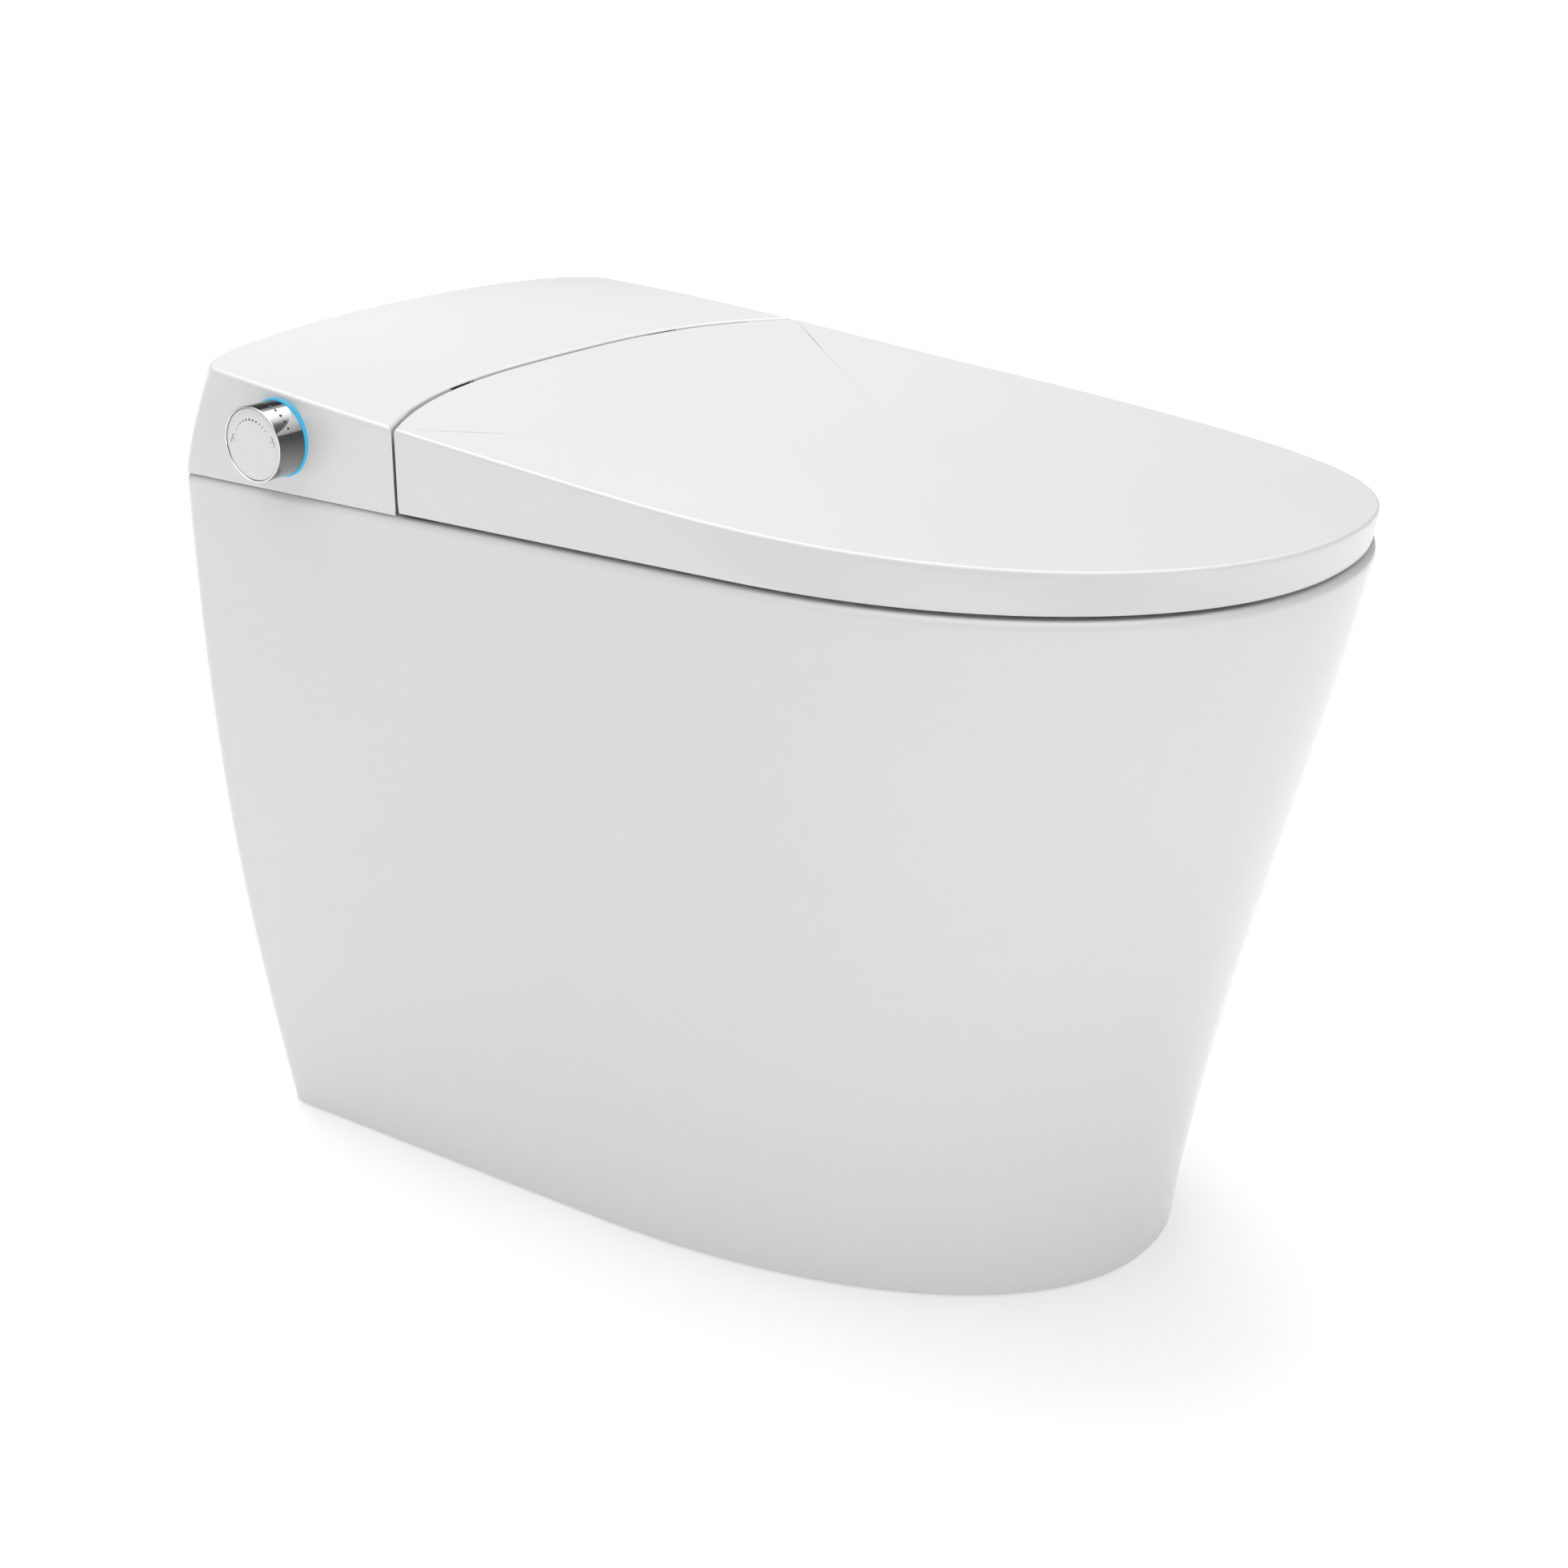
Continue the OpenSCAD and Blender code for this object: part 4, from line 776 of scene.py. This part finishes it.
def wall_dot(r, angle):
    """A thin round inlay halfway along the sleeve's wall, at an angle from straight up."""
    rings = []
    for k in (-0.05, 0.18):
        ring = []
        for p, q in circle(18, r):
            a = angle + p/KNOB_R
            ring.append((KNOB_FOOT - KNOB_LEN/2 - q, KNOB.y - (KNOB_R + k)*math.sin(a),
                         KNOB.z + (KNOB_R + k)*math.cos(a)))
        rings.append(ring)
    return loft(rings)


def wall_marks():
    shares = [i / (WALL_DOTS - 1) for i in range(WALL_DOTS)]
    return joined([wall_dot(mix(*WALL_DOT_R, t), math.radians(mix(*WALL_DOT_SPAN, t)))
                   for t in shares])


add("knob_collar", loft(sleeve(), closed=True), MATS["chrome"], "knob", ["knob_sleeve"],
    30)
add("knob_face", loft(cap()), MATS["cover_plastic"], "knob_button", ["knob_cap"],
    30)
add("knob_marks", face_marks(), PRINT, "knob_button", [], 30)
add("knob_dots", wall_marks(), PRINT, "knob", [], 30)


# ---- seat ring, with a dished top and rounded edges

SEAT_SIDES = 160
SEAT_HIGH, SEAT_CLEAR = 462.0, 6.2      # highest top, and room kept under the lid's top
SEAT_LOW = 439.4                        # where its outer wall starts
EDGE_R, EDGE_T = 6, 0.075               # outer edge: radius, and share of the ring's width
LIP_T, LIP_DROP = 0.86, 9               # inner edge: share where it starts, and its drop
DISH = 2.6                              # depth of the hollow across the top
FALL, FALL_FROM = 3.0, 0.3              # fall towards the inner edge, and where it starts


def oval(n, middle, front, rear):
    """Outline of two half superellipses, each given as (half width, reach, power)."""
    pts = []
    for c, sn in circle(n):
        half, reach, power = front if sn >= 0 else rear
        p = 2 / power
        pts.append((half * math.copysign(abs(c)**p, c),
                    middle + reach * math.copysign(abs(sn)**p, sn)))
    return pts


def seat_z(s):
    return min(SEAT_HIGH, top_z(s) - SEAT_CLEAR)


def lip_z(s):
    return seat_z(s) - FALL*(LIP_T - FALL_FROM)**2


def seat_mesh():
    out = oval(SEAT_SIDES, 360, front=(190.5, 299, 2.2), rear=(189.5, 166, 12))
    inn = oval(SEAT_SIDES, 422, front=(112, 158, 2.3), rear=(112, 160, 2.3))

    def ring(t, z_of):
        """The outline at share t of the way in, at height z_of(s)."""
        return [(-mix(a[0], b[0], t), OUTLET - mix(a[1], b[1], t),
                 z_of(mix(a[1], b[1], t))) for a, b in zip(out, inn)]

    rings = [ring(0.012, lambda s: SEAT_LOW - 1.4), ring(0.0, lambda s: SEAT_LOW)]
    for k in range(1, 4):
        rings.append(ring(0.0, lambda s, k=k: mix(SEAT_LOW, seat_z(s) - EDGE_R, k/3)))
    for a in QUARTER:
        rings.append(ring(EDGE_T*(1 - math.cos(a)),
                          lambda s, a=a: seat_z(s) - EDGE_R*(1 - math.sin(a))))
    for k in range(1, 14):
        t = mix(EDGE_T, LIP_T, k/13)
        drop = DISH*math.sin(math.pi*k/13)**2 + FALL*max(0, t - FALL_FROM)**2
        rings.append(ring(t, lambda s, drop=drop: seat_z(s) - drop))
    for a in QUARTER:
        rings.append(ring(LIP_T + (1 - LIP_T)*math.sin(a),
                          lambda s, a=a: lip_z(s) - LIP_DROP*(1 - math.cos(a))))
    # the inner wall's foot, then back outwards under the top
    for t, z in ((1.0, 441.5), (0.99, 440.7), (0.96, 440.6)):
        rings.append(ring(t, lambda s, z=z: z))
    rings.append(ring(0.94, lambda s: lip_z(s) - 3.2))
    rings.append(ring(0.5, lambda s: seat_z(s) - 6.2))
    rings.append(ring(0.06, lambda s: seat_z(s) - 4.2))
    rings.append(ring(0.04, lambda s: 440.7))
    return loft(rings, closed=True)


add("seat_skin", seat_mesh(), MATS["seat_plastic"], "seat", ["seat_top"], 50)


# ---- floor

FLOOR_R, FLOOR_SIDES, FLOOR_Z = 30.0, 96, -0.0005       # in metres

bm = bmesh.new()
bm.faces.new([bm.verts.new((x, y, FLOOR_Z)) for x, y in circle(FLOOR_SIDES, FLOOR_R)])
mesh = bpy.data.meshes.new("floor")
bm.to_mesh(mesh)
bm.free()
floor = bpy.data.objects.new("floor", mesh)
bpy.context.scene.collection.objects.link(floor)
floor_mat, floor_tree, floor_bsdf = principled(
    "floor_paint", (0.9, 0.9, 0.9), 0.75, Emission_Color=(1, 1, 1, 1))
tint(floor_tree, noise(floor_tree, 3.0), (0.88, 0.88, 0.88), (0.91, 0.91, 0.91),
     floor_bsdf.inputs["Base Color"])
# the far floor glows a little more, where the key light no longer reaches
spot = floor_tree.nodes.new("ShaderNodeTexCoord")
away = floor_tree.nodes.new("ShaderNodeVectorMath")
away.operation = "LENGTH"
floor_tree.links.new(spot.outputs["Object"], away.inputs[0])
glow = map_range(floor_tree, away.outputs["Value"], (1.2, 4.5), (0.27, 0.75), smooth=True)
floor_tree.links.new(glow, floor_bsdf.inputs["Emission Strength"])
mesh.materials.append(floor_mat)
